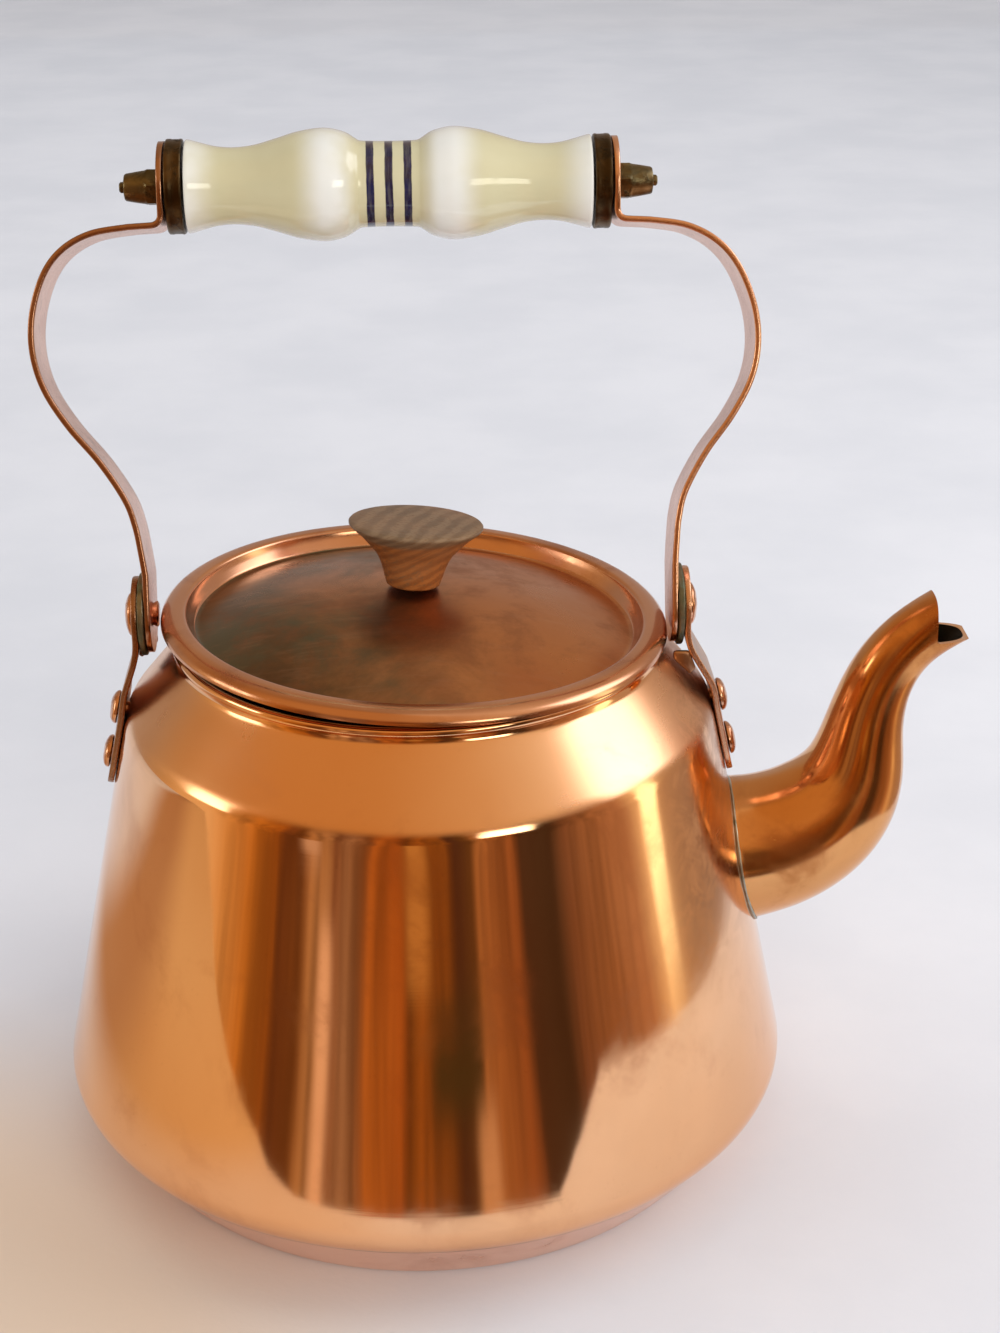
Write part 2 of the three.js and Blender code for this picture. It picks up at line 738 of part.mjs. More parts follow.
function grip() {
  const half = GRIP_PROFILE.map(([x, r]) => [r, x]);
  const other = half.map(([r, x]) => [r, -x]).reverse();
  const bore = [
    [GRIP_BORE_R, -GRIP_HALF],
    [GRIP_BORE_R, GRIP_HALF],
  ];
  const made = turnedOnX([...half, ...other, ...bore], 24);
  return mesh('grip_porcelain', made.translate([lean(GRIP_Z), 0, GRIP_Z]), porcelain);
}

// ---------------------------------------------------------------- assembly

const upright = new THREE.Group(); // the bail as built, before it leans back on its pivots
upright.position.z = -PIVOT_Z;
upright.add(tieRod(), grip());
const bail = new THREE.Group();
bail.position.z = PIVOT_Z;
bail.rotation.x = -BAIL_REST;
bail.add(upright);

const kettle = new THREE.Group();
kettle.add(bodyShell(), basePan(), spout(), solderSeam(), lid(), bail);
for (const [word, side] of [['right', 1], ['left', -1]]) {
  kettle.add(
    bracket('bracket_' + word, side),
    pivotRivet('pivot_rivet_' + word, side, side > 0 ? 0 : 1.8),
    pivotWasher('pivot_washer_' + word, side),
  );
  upright.add(
    strap('strap_' + word, side),
    ferrule('ferrule_' + word, side),
    capNut('cap_nut_' + word, side),
  );
  for (const rivet of BODY_RIVETS) {
    kettle.add(bodyRivet('body_rivet_' + word + '_' + rivet.name, rivet, side));
  }
}

export default kettle;
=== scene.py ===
"""Looks of the copper stovetop kettle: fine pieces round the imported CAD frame.

Lengths in the geometry code are millimetres in the CAD's frame; MM turns them into metres.
"""

import math

import bmesh
import bpy
from mathutils import Matrix, Vector, noise


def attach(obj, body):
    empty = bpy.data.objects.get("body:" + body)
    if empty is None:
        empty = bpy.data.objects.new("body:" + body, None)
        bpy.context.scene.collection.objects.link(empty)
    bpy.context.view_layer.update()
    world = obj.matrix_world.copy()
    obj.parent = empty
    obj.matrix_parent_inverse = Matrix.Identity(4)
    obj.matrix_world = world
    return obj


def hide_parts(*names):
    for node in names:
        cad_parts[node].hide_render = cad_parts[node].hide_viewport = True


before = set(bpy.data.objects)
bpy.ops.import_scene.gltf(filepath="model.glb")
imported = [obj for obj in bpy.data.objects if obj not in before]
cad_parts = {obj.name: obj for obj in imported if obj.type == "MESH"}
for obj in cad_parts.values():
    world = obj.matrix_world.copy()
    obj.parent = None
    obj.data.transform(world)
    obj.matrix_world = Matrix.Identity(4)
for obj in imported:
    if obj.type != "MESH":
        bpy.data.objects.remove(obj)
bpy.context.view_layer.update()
scene = bpy.context.scene

MM = 0.001

# ------------ sizes, as in the CAD

SHEET = 1.2
STRIP = 1.7
FOOT = (85.8, 0.0)
KNUCKLE = (104.7, 22.6)
SHOULDER = (81.6, 130.9)
NECK_FOOT = (66.6, 149.0)
NECK_TOP = 151.6
BEAD_R = 1.5
BEAD_RING_R = 66.2
WALL_SLOPE = math.atan2(KNUCKLE[0] - SHOULDER[0], SHOULDER[1] - KNUCKLE[1])

SPOUT_STATIONS = [
    (80, 80.5, 22.3), (91, 81, 20.9), (101, 83, 20.2), (110.7, 87.6, 19.2), (118.6, 95, 17.6),
    (123.2, 104, 15), (124.9, 113.5, 12.4), (126.1, 122.5, 10.7), (128.6, 132, 9.6),
    (133, 140.6, 8.9), (139.6, 147.6, 8.4), (147.8, 152.9, 7.8), (154.5, 156.3, 7.4),
]
SPOUT_WALL = 1.1
TIP_SQUARE = 1.5
SPOUT_HOLE_R = 17
BEAK_X = 143
BEAK_Z = 147.3
LIP_X = 152.6

LID_SEAT_Z = 156.2
LID_SHIFT = -0.8
LID_TILT = math.radians(2.4)
APEX_Z = 7.9
RIM_FROM_R, RIM_R, RIM_TOP, RIM_DROP = 65.2, 69.5, 2.0, 1.3
KNOB_LEAN_BACK, KNOB_LEAN_ASIDE, KNOB_SHIFT = math.radians(5.5), math.radians(1.6), -0.8

PIVOT_Z = 157.8
GRIP_Z = 272.7
BAIL_REST = math.radians(17)
OFF_CENTRE = -1.6
BAIL_LEAN = -3.7
LEAN_FROM, LEAN_TO = 169, 259
STRAP_HALF = 10.5
STRAP_INNER = 70.8
WASHER_THICK = 1.6
WASHER_R = 11.3
EAR_X = STRAP_INNER + STRIP + WASHER_THICK + 0.2
TAB_R = 12
TAB_X = 60.6
STRAP_LINE = [
    (72.3, 175.3), (73.3, 182.4), (75.5, 189.6), (81.4, 199.6), (89, 209.4), (94.6, 219.2),
    (96.9, 229), (96.2, 239), (92.6, 249.1), (87.2, 255.8), (79.3, 260), (69.4, 261.6),
]
BODY_RIVETS = {"upper": (129.5, 1.4), "lower": (116, 0.0)}
BRACKET_FOOT_R = 8.6
LEG_WIDE_Z = 147
HUG_FROM, HUG_OVER = 137.5, 7
STOP_TAB_TOP = 147.8
GRIP_X = OFF_CENTRE + BAIL_LEAN
GRIP_PROFILE = [
    (54.3, 11.8), (53.7, 12.4), (50.2, 11.5), (46, 10.5), (41.2, 10.2), (35.9, 10.8), (30.1, 12.4),
    (24.3, 14.1), (17.4, 15), (12.1, 14), (9.1, 12.3), (7.8, 11.6), (5.3, 11.4), (0, 11.3),
]
FERRULE_R = 12.6
FERRULE_FACE = TAB_X - STRIP / 2 - 0.3
NUT_FACE = TAB_X + STRIP / 2 + 0.3
NUT_FLAT_R = 4.5


# ------------ lines

def spline(points, per):
    """Catmull-Rom points through a list of tuples, per steps in each span."""
    made = []
    for i in range(len(points) - 1):
        p0 = Vector(points[max(i - 1, 0)])
        p1, p2 = Vector(points[i]), Vector(points[i + 1])
        p3 = Vector(points[min(i + 2, len(points) - 1)])
        for k in range(per):
            t = k / per
            made.append(0.5 * (2 * p1 + (p2 - p0) * t + (2 * p0 - 5 * p1 + 4 * p2 - p3) * t ** 2
                               + (3 * p1 - p0 - 3 * p2 + p3) * t ** 3))
    return made + [Vector(points[-1])]


def arc(cx, cy, radius, start, end, steps):
    """Points of an arc, angles in degrees."""
    turns = [math.radians(start + (end - start) * i / steps) for i in range(steps + 1)]
    return [Vector((cx + radius * math.cos(a), cy + radius * math.sin(a))) for a in turns]


def fillet(before, corner, after, tangent, steps=8):
    """A corner rounded by a quadratic curve."""
    b, c, a = Vector(before), Vector(corner), Vector(after)
    p = c + (b - c).normalized() * tangent
    q = c + (a - c).normalized() * tangent
    ts = [i / steps for i in range(steps + 1)]
    return [(1 - t) ** 2 * p + 2 * t * (1 - t) * c + t * t * q for t in ts]


def divided(start, end, steps):
    """Points strictly between two others."""
    a, b = Vector(start), Vector(end)
    return [a.lerp(b, i / steps) for i in range(1, steps)]


def offset(line, distance):
    """An open line moved to its left by a distance, with mitred corners."""
    made = []
    for i, p in enumerate(line):
        normals = []
        for a, b in ((line[max(i - 1, 0)], p), (p, line[min(i + 1, len(line) - 1)])):
            if (b - a).length > 1e-6:
                d = (b - a).normalized()
                normals.append(Vector((-d.y, d.x)))
        total = normals[0] + normals[-1]
        made.append(p + total * distance / (1 + normals[0].dot(normals[-1])))
    return made


# ------------ meshes

def smooth(mesh, sharp=40):
    """Smooth shading with edges kept over an angle in degrees."""
    mesh.polygons.foreach_set("use_smooth", [True] * len(mesh.polygons))
    mesh.set_sharp_from_angle(angle=math.radians(sharp))


def linked(name, data):
    """A new object in the scene."""
    obj = bpy.data.objects.new(name, data)
    scene.collection.objects.link(obj)
    return obj


def mesh_object(name, verts, faces, materials, sharp=40, edge=None):
    """A smooth-shaded object from points in millimetres. edge is a wear value for each point."""
    mesh = bpy.data.meshes.new(name)
    mesh.from_pydata([Vector(v) * MM for v in verts], [], faces)
    if edge is not None:
        attribute = mesh.attributes.new("edge", "FLOAT", "POINT")
        attribute.data.foreach_set("value", edge)
    bm = bmesh.new()
    bm.from_mesh(mesh)
    bmesh.ops.recalc_face_normals(bm, faces=bm.faces)
    bm.to_mesh(mesh)
    bm.free()
    smooth(mesh, sharp)
    for material in materials:
        mesh.materials.append(material)
    return linked(name, mesh)


def wrapped_rows(rows, count, base=0):
    """Quads between successive closed rows of count points, the first point numbered base."""
    faces = []
    for a in range(base, base + (rows - 1) * count, count):
        b = a + count
        faces += [(a + k, a + (k + 1) % count, b + (k + 1) % count, b + k) for k in range(count)]
    return faces


def lathe(name, profile, materials, segments=128, sharp=40, wobble=0.0, seed=0.0):
    """A profile of (radius, height) turned round Z. It closes on itself or on the axis."""
    verts, rings = [], []
    for r, z in profile:
        if r < 1e-4:
            rings.append([len(verts)])
            verts.append((0, 0, z))
            continue
        rings.append(range(len(verts), len(verts) + segments))
        for k in range(segments):
            a = 2 * math.pi * k / segments
            p = Vector((r * math.cos(a), r * math.sin(a), z))
            if wobble:
                p += noise.noise_vector(p * 0.35 + Vector((seed, seed, seed))) * wobble
            verts.append(p)
    pairs = list(zip(rings, rings[1:]))
    if profile[0][0] > 1e-4:
        pairs.append((rings[-1], rings[0]))
    faces = []
    for low, high in pairs:
        for k in range(segments):
            n = (k + 1) % segments
            if len(low) == 1 and len(high) == 1:
                break
            if len(low) == 1:
                faces.append((low[0], high[n], high[k]))
            elif len(high) == 1:
                faces.append((low[k], low[n], high[0]))
            else:
                faces.append((low[k], low[n], high[n], high[k]))
    return mesh_object(name, verts, faces, materials, sharp)


def placed(obj, *steps):
    """Moves an object's points by matrices in millimetres, the first one first."""
    for step in steps:
        m = step.copy()
        m.translation *= MM
        obj.data.transform(m)
    return obj


def shift(x, y, z):
    return Matrix.Translation((x, y, z))


def turn(angle, axis):
    return Matrix.Rotation(angle, 4, axis)


Z_TO_X = turn(math.pi / 2, "Y")


def sided(obj, side):
    """Leaves a piece on the right or turns it to the left."""
    return placed(obj, turn(math.pi, "Z")) if side < 0 else obj


def round_end(base, reach, degrees):
    """Heights along the rounded end of a strip."""
    return [base + reach * math.sin(math.radians(a)) for a in degrees]


def strip(name, centre, halves, materials, thick=STRIP):
    """A bent flat strip: a line of (x, z) with a half width at each point, its width along Y."""
    normals = []
    for i in range(len(centre)):
        d = centre[min(i + 1, len(centre) - 1)] - centre[max(i - 1, 0)]
        d.normalize()
        normals.append(Vector((-d.y, d.x)))
    verts, edge, count = [], [], 0
    for p, n, half in zip(centre, normals, halves):
        c = min(0.55, half * 0.8)
        section = []
        for sy, sn, start in ((1, 1, 0), (-1, 1, 90), (-1, -1, 180), (1, -1, 270)):
            cy, cn = sy * (half - c), sn * (thick / 2 - c)
            for q in arc(cy, cn, c, start, start + 90, 4):
                section.append((q, 1.0))
            if start in (0, 180):
                flat = [half - c - 0.6 - (2 * half - 2 * c - 1.2) * i / 6 for i in range(7)]
                section += [(Vector((sy * y, cn + sn * c)), 0.0) for y in flat]
        count = len(section)
        for q, worn in section:
            verts.append((p.x + n.x * q.y, q.x, p.y + n.y * q.y))
            edge.append(worn)
    rows = len(centre)
    faces = [tuple(range(count)), tuple(range((rows - 1) * count, rows * count))]
    faces += wrapped_rows(rows, count)
    return mesh_object(name, verts, faces, materials, 50, edge)


def prism(name, outline, low, high, materials, bevel=0.35):
    """A bevelled plate: an outline of (x, z), from y = low to y = high."""
    n = len(outline)
    verts = [(x, low, z) for x, z in outline] + [(x, high, z) for x, z in outline]
    faces = [tuple(range(n)), tuple(range(n, 2 * n))]
    faces += [(i, (i + 1) % n, n + (i + 1) % n, n + i) for i in range(n)]
    obj = mesh_object(name, verts, faces, materials)
    if bevel:
        bm = bmesh.new()
        bm.from_mesh(obj.data)
        bmesh.ops.bevel(bm, geom=bm.edges[:], offset=bevel * MM, segments=3, profile=0.5,
                        affect="EDGES", clamp_overlap=True)
        bm.to_mesh(obj.data)
        bm.free()
        smooth(obj.data)
    return obj


def joined(name, objects):
    """Several objects made one mesh object."""
    bm = bmesh.new()
    for obj in objects:
        bm.from_mesh(obj.data)
    mesh = bpy.data.meshes.new(name)
    bm.to_mesh(mesh)
    bm.free()
    for material in objects[0].data.materials:
        mesh.materials.append(material)
    for obj in objects:
        bpy.data.objects.remove(obj)
    return linked(name, mesh)


def cut(obj, cutter):
    """Subtracts one mesh from another. The cut faces take the cutter's material."""
    modifier = obj.modifiers.new("cut", "BOOLEAN")
    modifier.operation = "DIFFERENCE"
    modifier.solver = "EXACT"
    modifier.material_mode = "TRANSFER"
    modifier.object = cutter
    bpy.context.view_layer.update()
    graph = bpy.context.evaluated_depsgraph_get()
    mesh = bpy.data.meshes.new_from_object(obj.evaluated_get(graph))
    obj.modifiers.clear()
    obj.data = mesh
    bpy.data.objects.remove(cutter)
    smooth(mesh)


# ------------ material nodes

class Graph:
    """A node tree built by short calls. Values are sockets, numbers or colours."""

    def __init__(self, tree):
        self.tree = tree

    def add(self, kind, inputs=None, **settings):
        """A node of a kind, with values for its inputs and its own settings."""
        node = self.tree.nodes.new(kind)
        for key, value in settings.items():
            setattr(node, key, value)
        for key, value in (inputs or {}).items():
            node.inputs[key].default_value = value
        return node

    def feed(self, socket, value):
        if isinstance(value, bpy.types.NodeSocket):
            self.tree.links.new(value, socket)
        else:
            socket.default_value = value

    def math(self, operation, a, b=0.0):
        node = self.add("ShaderNodeMath", operation=operation)
        self.feed(node.inputs[0], a)
        self.feed(node.inputs[1], b)
        return node.outputs[0]

    def plus(self, a, b):
        return self.math("ADD", a, b)

    def less(self, a, b):
        return self.math("SUBTRACT", a, b)

    def times(self, a, b):
        return self.math("MULTIPLY", a, b)

    def length(self, a, b):
        """The length of a flat vector."""
        return self.math("SQRT", self.plus(self.times(a, a), self.times(b, b)))

    def span(self, value, low, high, to_low=0.0, to_high=1.0):
        """The value's range low..high mapped to to_low..to_high, clamped."""
        ends = {"From Min": low, "From Max": high, "To Min": to_low, "To Max": to_high}
        node = self.add("ShaderNodeMapRange", ends, interpolation_type="SMOOTHSTEP")
        self.feed(node.inputs["Value"], value)
        return node.outputs["Result"]

    def mix(self, share, a, b):
        node = self.add("ShaderNodeMix", data_type="RGBA")
        self.feed(node.inputs[0], share)
        for socket, value in ((node.inputs[6], a), (node.inputs[7], b)):
            self.feed(socket, (*value, 1) if isinstance(value, tuple) else value)
        return node.outputs[2]


class Nodes(Graph):
    """A material's node tree."""

    def __init__(self, name):
        self.material = bpy.data.materials.new(name)
        self.material.use_nodes = True
        super().__init__(self.material.node_tree)
        self.shader = self.tree.nodes["Principled BSDF"]
        self.place = self.add("ShaderNodeTexCoord").outputs["Object"]

    def noise(self, scale, detail=4, rough=0.5, vector=None, stretch=None, distortion=0.0):
        """Noise between 0 and 1, scale in cycles per metre."""
        node = self.add("ShaderNodeTexNoise", {"Scale": scale, "Detail": detail, "Roughness": rough,
                                               "Distortion": distortion})
        source = vector or self.place
        if stretch:
            mapping = self.add("ShaderNodeMapping", {"Scale": stretch})
            self.feed(mapping.inputs["Vector"], source)
            source = mapping.outputs["Vector"]
        self.feed(node.inputs["Vector"], source)
        return node.outputs["Fac"]

    def axis(self, name):
        node = self.add("ShaderNodeSeparateXYZ")
        self.feed(node.inputs[0], self.place)
        return node.outputs[name]

    def ring_place(self):
        """Coordinates that are the same all round the Z axis: radius and height."""
        node = self.add("ShaderNodeCombineXYZ")
        self.feed(node.inputs["X"], self.length(self.axis("X"), self.axis("Y")))
        self.feed(node.inputs["Y"], self.axis("Z"))
        return node.outputs[0]

    def bump(self, height, distance):
        """A normal from a height, distance in millimetres."""
        node = self.add("ShaderNodeBump", {"Strength": 1.0, "Distance": distance * MM})
        self.feed(node.inputs["Height"], height)
        return node.outputs["Normal"]

    def finish(self, colour, rough, metal, normal):
        self.feed(self.shader.inputs["Base Color"], colour)
        self.feed(self.shader.inputs["Roughness"], rough)
        self.shader.inputs["Metallic"].default_value = metal
        self.feed(self.shader.inputs["Normal"], normal)
        return self.material


# ------------ materials

def polished_copper(name, bright, deep, rough, stain, swell=5.0, body=False):
    """Buffed copper: soft colour drift, clouded patches, fine marks round the axis.

    On the body the shoulder is duller than the wall, and a brown bloom lies beside the spout.
    """
    n = Nodes(name)
    drift = n.noise(14, 3, 0.5)
    cloud = n.span(n.noise(38, 6, 0.62, distortion=0.4), 0.5, 0.72)
    speck = n.span(n.noise(900, 2, 0.5), 0.67, 0.78)
    lines = n.noise(2600, 3, 0.6, vector=n.ring_place())
    patchy = n.noise(60, 3, 0.5)
    colour = n.mix(n.span(drift, 0.3, 0.7), bright, deep)
    darker = tuple(c * f for c, f in zip(deep, (0.72, 0.62, 0.6)))
    colour = n.mix(n.times(cloud, stain), colour, darker)
    colour = n.mix(n.times(speck, 0.25), colour, darker)
    if body:
        beside = n.times(n.span(n.axis("X"), 0.058, 0.076), n.span(n.axis("Z"), 0.06, 0.1))
        mottle = n.span(n.noise(85, 6, 0.7, distortion=0.6), 0.35, 0.6, 0.25, 1.0)
        bloom = n.times(beside, mottle)
        colour = n.mix(n.times(bloom, 0.7), colour, (0.42, 0.2, 0.1))
    marks = n.times(lines, n.span(patchy, 0.35, 0.7, 0.2, 1.0))
    roughness = n.plus(rough, n.times(cloud, 0.16 * stain + 0.02))
    roughness = n.plus(roughness, n.times(marks, 0.05))
    if body:
        dull = n.times(n.span(n.axis("Z"), 0.129, 0.133),
                      n.span(n.axis("Z"), 0.1475, 0.1495, 0.17, 0.0))
        roughness = n.plus(roughness, n.plus(dull, n.times(bloom, 0.16)))
    height = n.plus(n.times(n.noise(20, 2, 0.4), swell), n.times(marks, 0.12))
    return n.finish(colour, roughness, 1.0, n.bump(height, 0.02))


def lid_copper(name):
    """Satin copper, darker and grey-green towards the left, with brown clouds, smudges and wiping marks."""
    n = Nodes(name)
    cloud = n.noise(24, 7, 0.62, distortion=0.4)
    # the lid gets darker and greyer towards its left side
    side = n.times(n.axis("X"), -6.5)
    darkening = n.span(n.plus(cloud, side), 0.38, 0.8)
    smudge = n.span(n.noise(48, 7, 0.68, distortion=0.25), 0.44, 0.66)
    fine = n.noise(1500, 3, 0.6)
    streak = n.span(n.noise(300, 4, 0.6, stretch=(0.15, 1, 1)), 0.5, 0.75)
    colour = n.mix(darkening, (0.62, 0.28, 0.125), (0.17, 0.115, 0.065))
    green = n.span(n.noise(34, 5, 0.6), 0.42, 0.62)
    colour = n.mix(n.times(n.times(green, darkening), 0.85), colour, (0.15, 0.16, 0.115))
    colour = n.mix(n.times(smudge, 0.55), colour, (0.36, 0.16, 0.08))
    colour = n.mix(n.times(streak, 0.15), colour, (0.7, 0.42, 0.28))
    rough = n.plus(n.span(cloud, 0.3, 0.7, 0.24, 0.38), n.times(smudge, 0.1))
    height = n.plus(n.times(fine, 0.25), n.noise(26, 3, 0.5))
    return n.finish(colour, rough, 1.0, n.bump(height, 0.05))


def strip_copper(name, bright, deep, rough):
    """Satin copper strip: dull faces, bright worn edges, dark dirt in patches; the edges are painted dark
    brown as shade on the left side.
    """
    n = Nodes(name)
    worn = n.add("ShaderNodeAttribute", attribute_name="edge").outputs["Fac"]
    cloud = n.noise(70, 5, 0.6, distortion=0.5)
    dirt = n.span(n.noise(160, 5, 0.65), 0.55, 0.75)
    grain = n.noise(900, 3, 0.6, stretch=(1, 3.5, 0.25))
    colour = n.mix(n.span(cloud, 0.3, 0.7), bright, deep)
    colour = n.mix(n.times(dirt, 0.45), colour, (0.17, 0.09, 0.06))
    # painted shade: the edges turn from bright worn copper on the right to dark brown on the left
    left = n.span(n.axis("X"), -0.03, 0.03, 1.0, 0.0)
    edge_wear_and_left_shade = n.mix(left, (0.86, 0.5, 0.33), (0.34, 0.18, 0.11))
    colour = n.mix(n.times(worn, 0.7), colour, edge_wear_and_left_shade)
    roughness = n.plus(rough, n.times(grain, 0.12))
    roughness = n.less(roughness, n.times(worn, 0.06))
    height = n.plus(n.times(grain, 0.4), n.noise(130, 3, 0.5))
    return n.finish(colour, roughness, 1.0, n.bump(height, 0.06))


def old_metal(name, bright, dark, crust, rough, bump=0.1, share=0.7):
    """Metal gone dark, with a crust in its patches."""
    n = Nodes(name)
    cloud = n.span(n.noise(110, 6, 0.65, distortion=0.6), 0.38, 0.62)
    fine = n.noise(700, 4, 0.65)
    scale = n.span(n.noise(240, 5, 0.7), 0.52, 0.68)
    colour = n.mix(cloud, bright, dark)
    colour = n.mix(n.times(scale, share), colour, crust)
    roughness = n.plus(rough, n.times(scale, 0.25))
    height = n.plus(n.times(scale, 0.8), n.times(fine, 0.5))
    return n.finish(colour, roughness, 1.0, n.bump(height, bump))


def porcelain_glaze(name):
    """Cream glaze with three painted blue bands round the waist of the grip, and a painted whitish
    reflection near its ends and on its bulges.
    """
    n = Nodes(name)
    wander = n.times(n.less(n.noise(140, 3, 0.5), 0.5), 0.0006)
    x = n.plus(n.less(n.axis("X"), GRIP_X * MM), wander)
    bands = None
    for centre in (-0.005, 0.0, 0.005):
        away = n.math("ABSOLUTE", n.less(x, centre))
        band = n.span(away, 0.0009, 0.0012, 1.0, 0.0)
        bands = band if bands is None else n.math("MAXIMUM", bands, band)
    brush = n.span(n.noise(420, 3, 0.5, stretch=(3, 0.4, 0.4)), 0.25, 0.6, 0.9, 1.0)
    cream = n.mix(n.span(n.noise(26, 4, 0.5), 0.3, 0.7), (0.62, 0.57, 0.36), (0.56, 0.5, 0.3))
    fleck = n.span(n.noise(1300, 2, 0.5), 0.74, 0.8)
    cream = n.mix(n.times(fleck, 0.35), cream, (0.45, 0.36, 0.24))
    along = n.math("ABSOLUTE", x)
    # painted reflection: the glaze turns whitish near both ends and on the two bulges
    bulge_sheen = n.times(n.span(along, 0.008, 0.014), n.span(along, 0.017, 0.026, 1.0, 0.0))
    painted_sheen = n.math("MAXIMUM", n.span(along, 0.044, 0.055), bulge_sheen)
    painted_sheen = n.times(painted_sheen, n.span(n.noise(50, 3, 0.5), 0.3, 0.6, 0.35, 0.9))
    cream = n.mix(painted_sheen, cream, (0.8, 0.79, 0.73))
    blue = n.mix(n.span(n.noise(300, 4, 0.6), 0.3, 0.7), (0.004, 0.006, 0.03), (0.008, 0.014, 0.06))
    colour = n.mix(n.times(bands, brush), cream, blue)
    rough = n.span(n.noise(60, 3, 0.5), 0.3, 0.7, 0.05, 0.12)
    n.shader.inputs["Coat Weight"].default_value = 0.6
    n.shader.inputs["Coat Roughness"].default_value = 0.04
    height = n.plus(n.noise(45, 2, 0.4), n.times(n.noise(300, 2, 0.5), 0.1))
    return n.finish(colour, rough, 0.0, n.bump(height, 0.12))


def turned_wood(name):
    """Oiled hardwood with the rings cut across the top of the knob and open pores."""
    n = Nodes(name)
    mapping = n.add("ShaderNodeMapping", {"Rotation": (0.5, 0.25, 0.62), "Location": (0.035, 0.01, -0.02)})
    n.feed(mapping.inputs["Vector"], n.place)
    rings = {"Scale": 130, "Distortion": 2.2, "Detail": 4, "Detail Scale": 1.3}
    grain = n.add("ShaderNodeTexWave", rings, wave_type="RINGS", rings_direction="X", wave_profile="SIN")
    n.feed(grain.inputs["Vector"], mapping.outputs["Vector"])
    pores = n.noise(1500, 3, 0.6, vector=mapping.outputs["Vector"], stretch=(0.09, 1, 1))
    tone = n.noise(80, 3, 0.5)
    soft = n.span(grain.outputs["Fac"], 0.1, 0.9, 0.1, 0.8)
    colour = n.mix(soft, (0.36, 0.115, 0.026), (0.22, 0.065, 0.015))
    face = n.span(n.axis("Z"), 0.1795, 0.1815)
    colour = n.mix(face, colour, n.mix(soft, (0.24, 0.15, 0.08), (0.14, 0.085, 0.045)))
    colour = n.mix(n.span(pores, 0.5, 0.7, 0.0, 0.75), colour, (0.16, 0.075, 0.03))
    colour = n.mix(n.span(tone, 0.3, 0.75, 0.0, 0.3), colour, (0.32, 0.17, 0.08))
    rough = n.plus(0.36, n.times(pores, 0.2))
    n.shader.inputs["Specular IOR Level"].default_value = 0.3
    height = n.less(n.times(grain.outputs["Fac"], 0.3), pores)
    return n.finish(colour, rough, 0.0, n.bump(height, 0.08))


def tinned(name):
    """The dull tin lining inside the body."""
    n = Nodes(name)
    cloud = n.noise(40, 5, 0.6)
    colour = n.mix(cloud, (0.52, 0.51, 0.48), (0.33, 0.32, 0.3))
    lines = n.noise(1800, 3, 0.6, vector=n.ring_place())
    rough = n.plus(0.32, n.times(lines, 0.2))
    return n.finish(colour, rough, 1.0, n.bump(n.plus(cloud, lines), 0.06))


def floor_cloth(name, warm=False):
    """Pale matte backdrop, a little mottled, with a painted warm shade and painted copper bounce light on
    the front left.

    The sheet that shows in reflections also has a painted yellow-brown shade at its far left.
    """
    n = Nodes(name)
    mottle = n.noise(9, 5, 0.55)
    weave = n.noise(420, 3, 0.6)
    colour = n.mix(n.span(mottle, 0.3, 0.7), (0.8, 0.79, 0.8), (0.745, 0.74, 0.755))
    x, y = n.axis("X"), n.axis("Y")
    aside, near = n.plus(x, 0.17), n.plus(y, 0.13)
    # painted shade: a soft tan disc on the floor left of the kettle stands for its warm shadow and the
    # light bounced off the copper
    colour = n.mix(n.span(n.length(aside, near), 0.09, 0.21, 0.9, 0.0), colour, (0.76, 0.58, 0.41))
    if warm:
        # painted shade: the reflected sheet turns yellow-brown at its far left, darker towards the back
        share = n.times(n.span(x, -0.21, -0.14, 1.0, 0.0), n.span(y, 0.09, 0.19, 1.0, 0.0))
        shade = n.mix(n.span(y, -0.07, 0.05), (0.74, 0.5, 0.24), (0.5, 0.29, 0.14))
        colour = n.mix(share, colour, shade)
    crease = n.noise(5, 3, 0.5)
    height = n.plus(n.times(crease, 4.0), n.times(weave, 0.25))
    n.shader.inputs["Specular IOR Level"].default_value = 0.2
    rough = n.plus(0.8, n.times(weave, 0.1))
    return n.finish(colour, rough, 0.0, n.bump(height, 0.25))


COPPER = polished_copper("copper_polished", (0.95, 0.57, 0.33), (0.91, 0.5, 0.26), 0.05, 0.35, body=True)
BAND = polished_copper("copper_base_band", (0.93, 0.6, 0.44), (0.88, 0.52, 0.35), 0.17, 0.5)
SPOUT = polished_copper("copper_spout", (0.8, 0.4, 0.16), (0.68, 0.29, 0.09), 0.12, 0.7, 0.6)
LID = lid_copper("copper_lid")
FLANGE = polished_copper("copper_lid_flange", (0.8, 0.44, 0.27), (0.66, 0.34, 0.2), 0.17, 0.8)
STRAP = strip_copper("copper_strap", (0.8, 0.5, 0.38), (0.66, 0.37, 0.26), 0.22)
BRACKET = strip_copper("copper_bracket", (0.6, 0.36, 0.23), (0.42, 0.24, 0.14), 0.27)
RIVET = old_metal("copper_rivet", (0.8, 0.46, 0.3), (0.6, 0.3, 0.18), (0.25, 0.13, 0.08), 0.2, 0.05, 0.4)
BRASS = old_metal("brass_dark", (0.13, 0.085, 0.04), (0.06, 0.042, 0.022), (0.035, 0.03, 0.02), 0.34)
NUT = old_metal("brass_nut", (0.21, 0.17, 0.09), (0.1, 0.09, 0.055), (0.05, 0.05, 0.035), 0.34, 0.16)
GREEN = old_metal("verdigris", (0.3, 0.27, 0.19), (0.16, 0.19, 0.15), (0.27, 0.36, 0.29), 0.5, 0.2, 0.9)
TIN = old_metal("solder_tin", (0.55, 0.55, 0.5), (0.36, 0.37, 0.33), (0.16, 0.25, 0.2), 0.34, 0.1, 0.6)
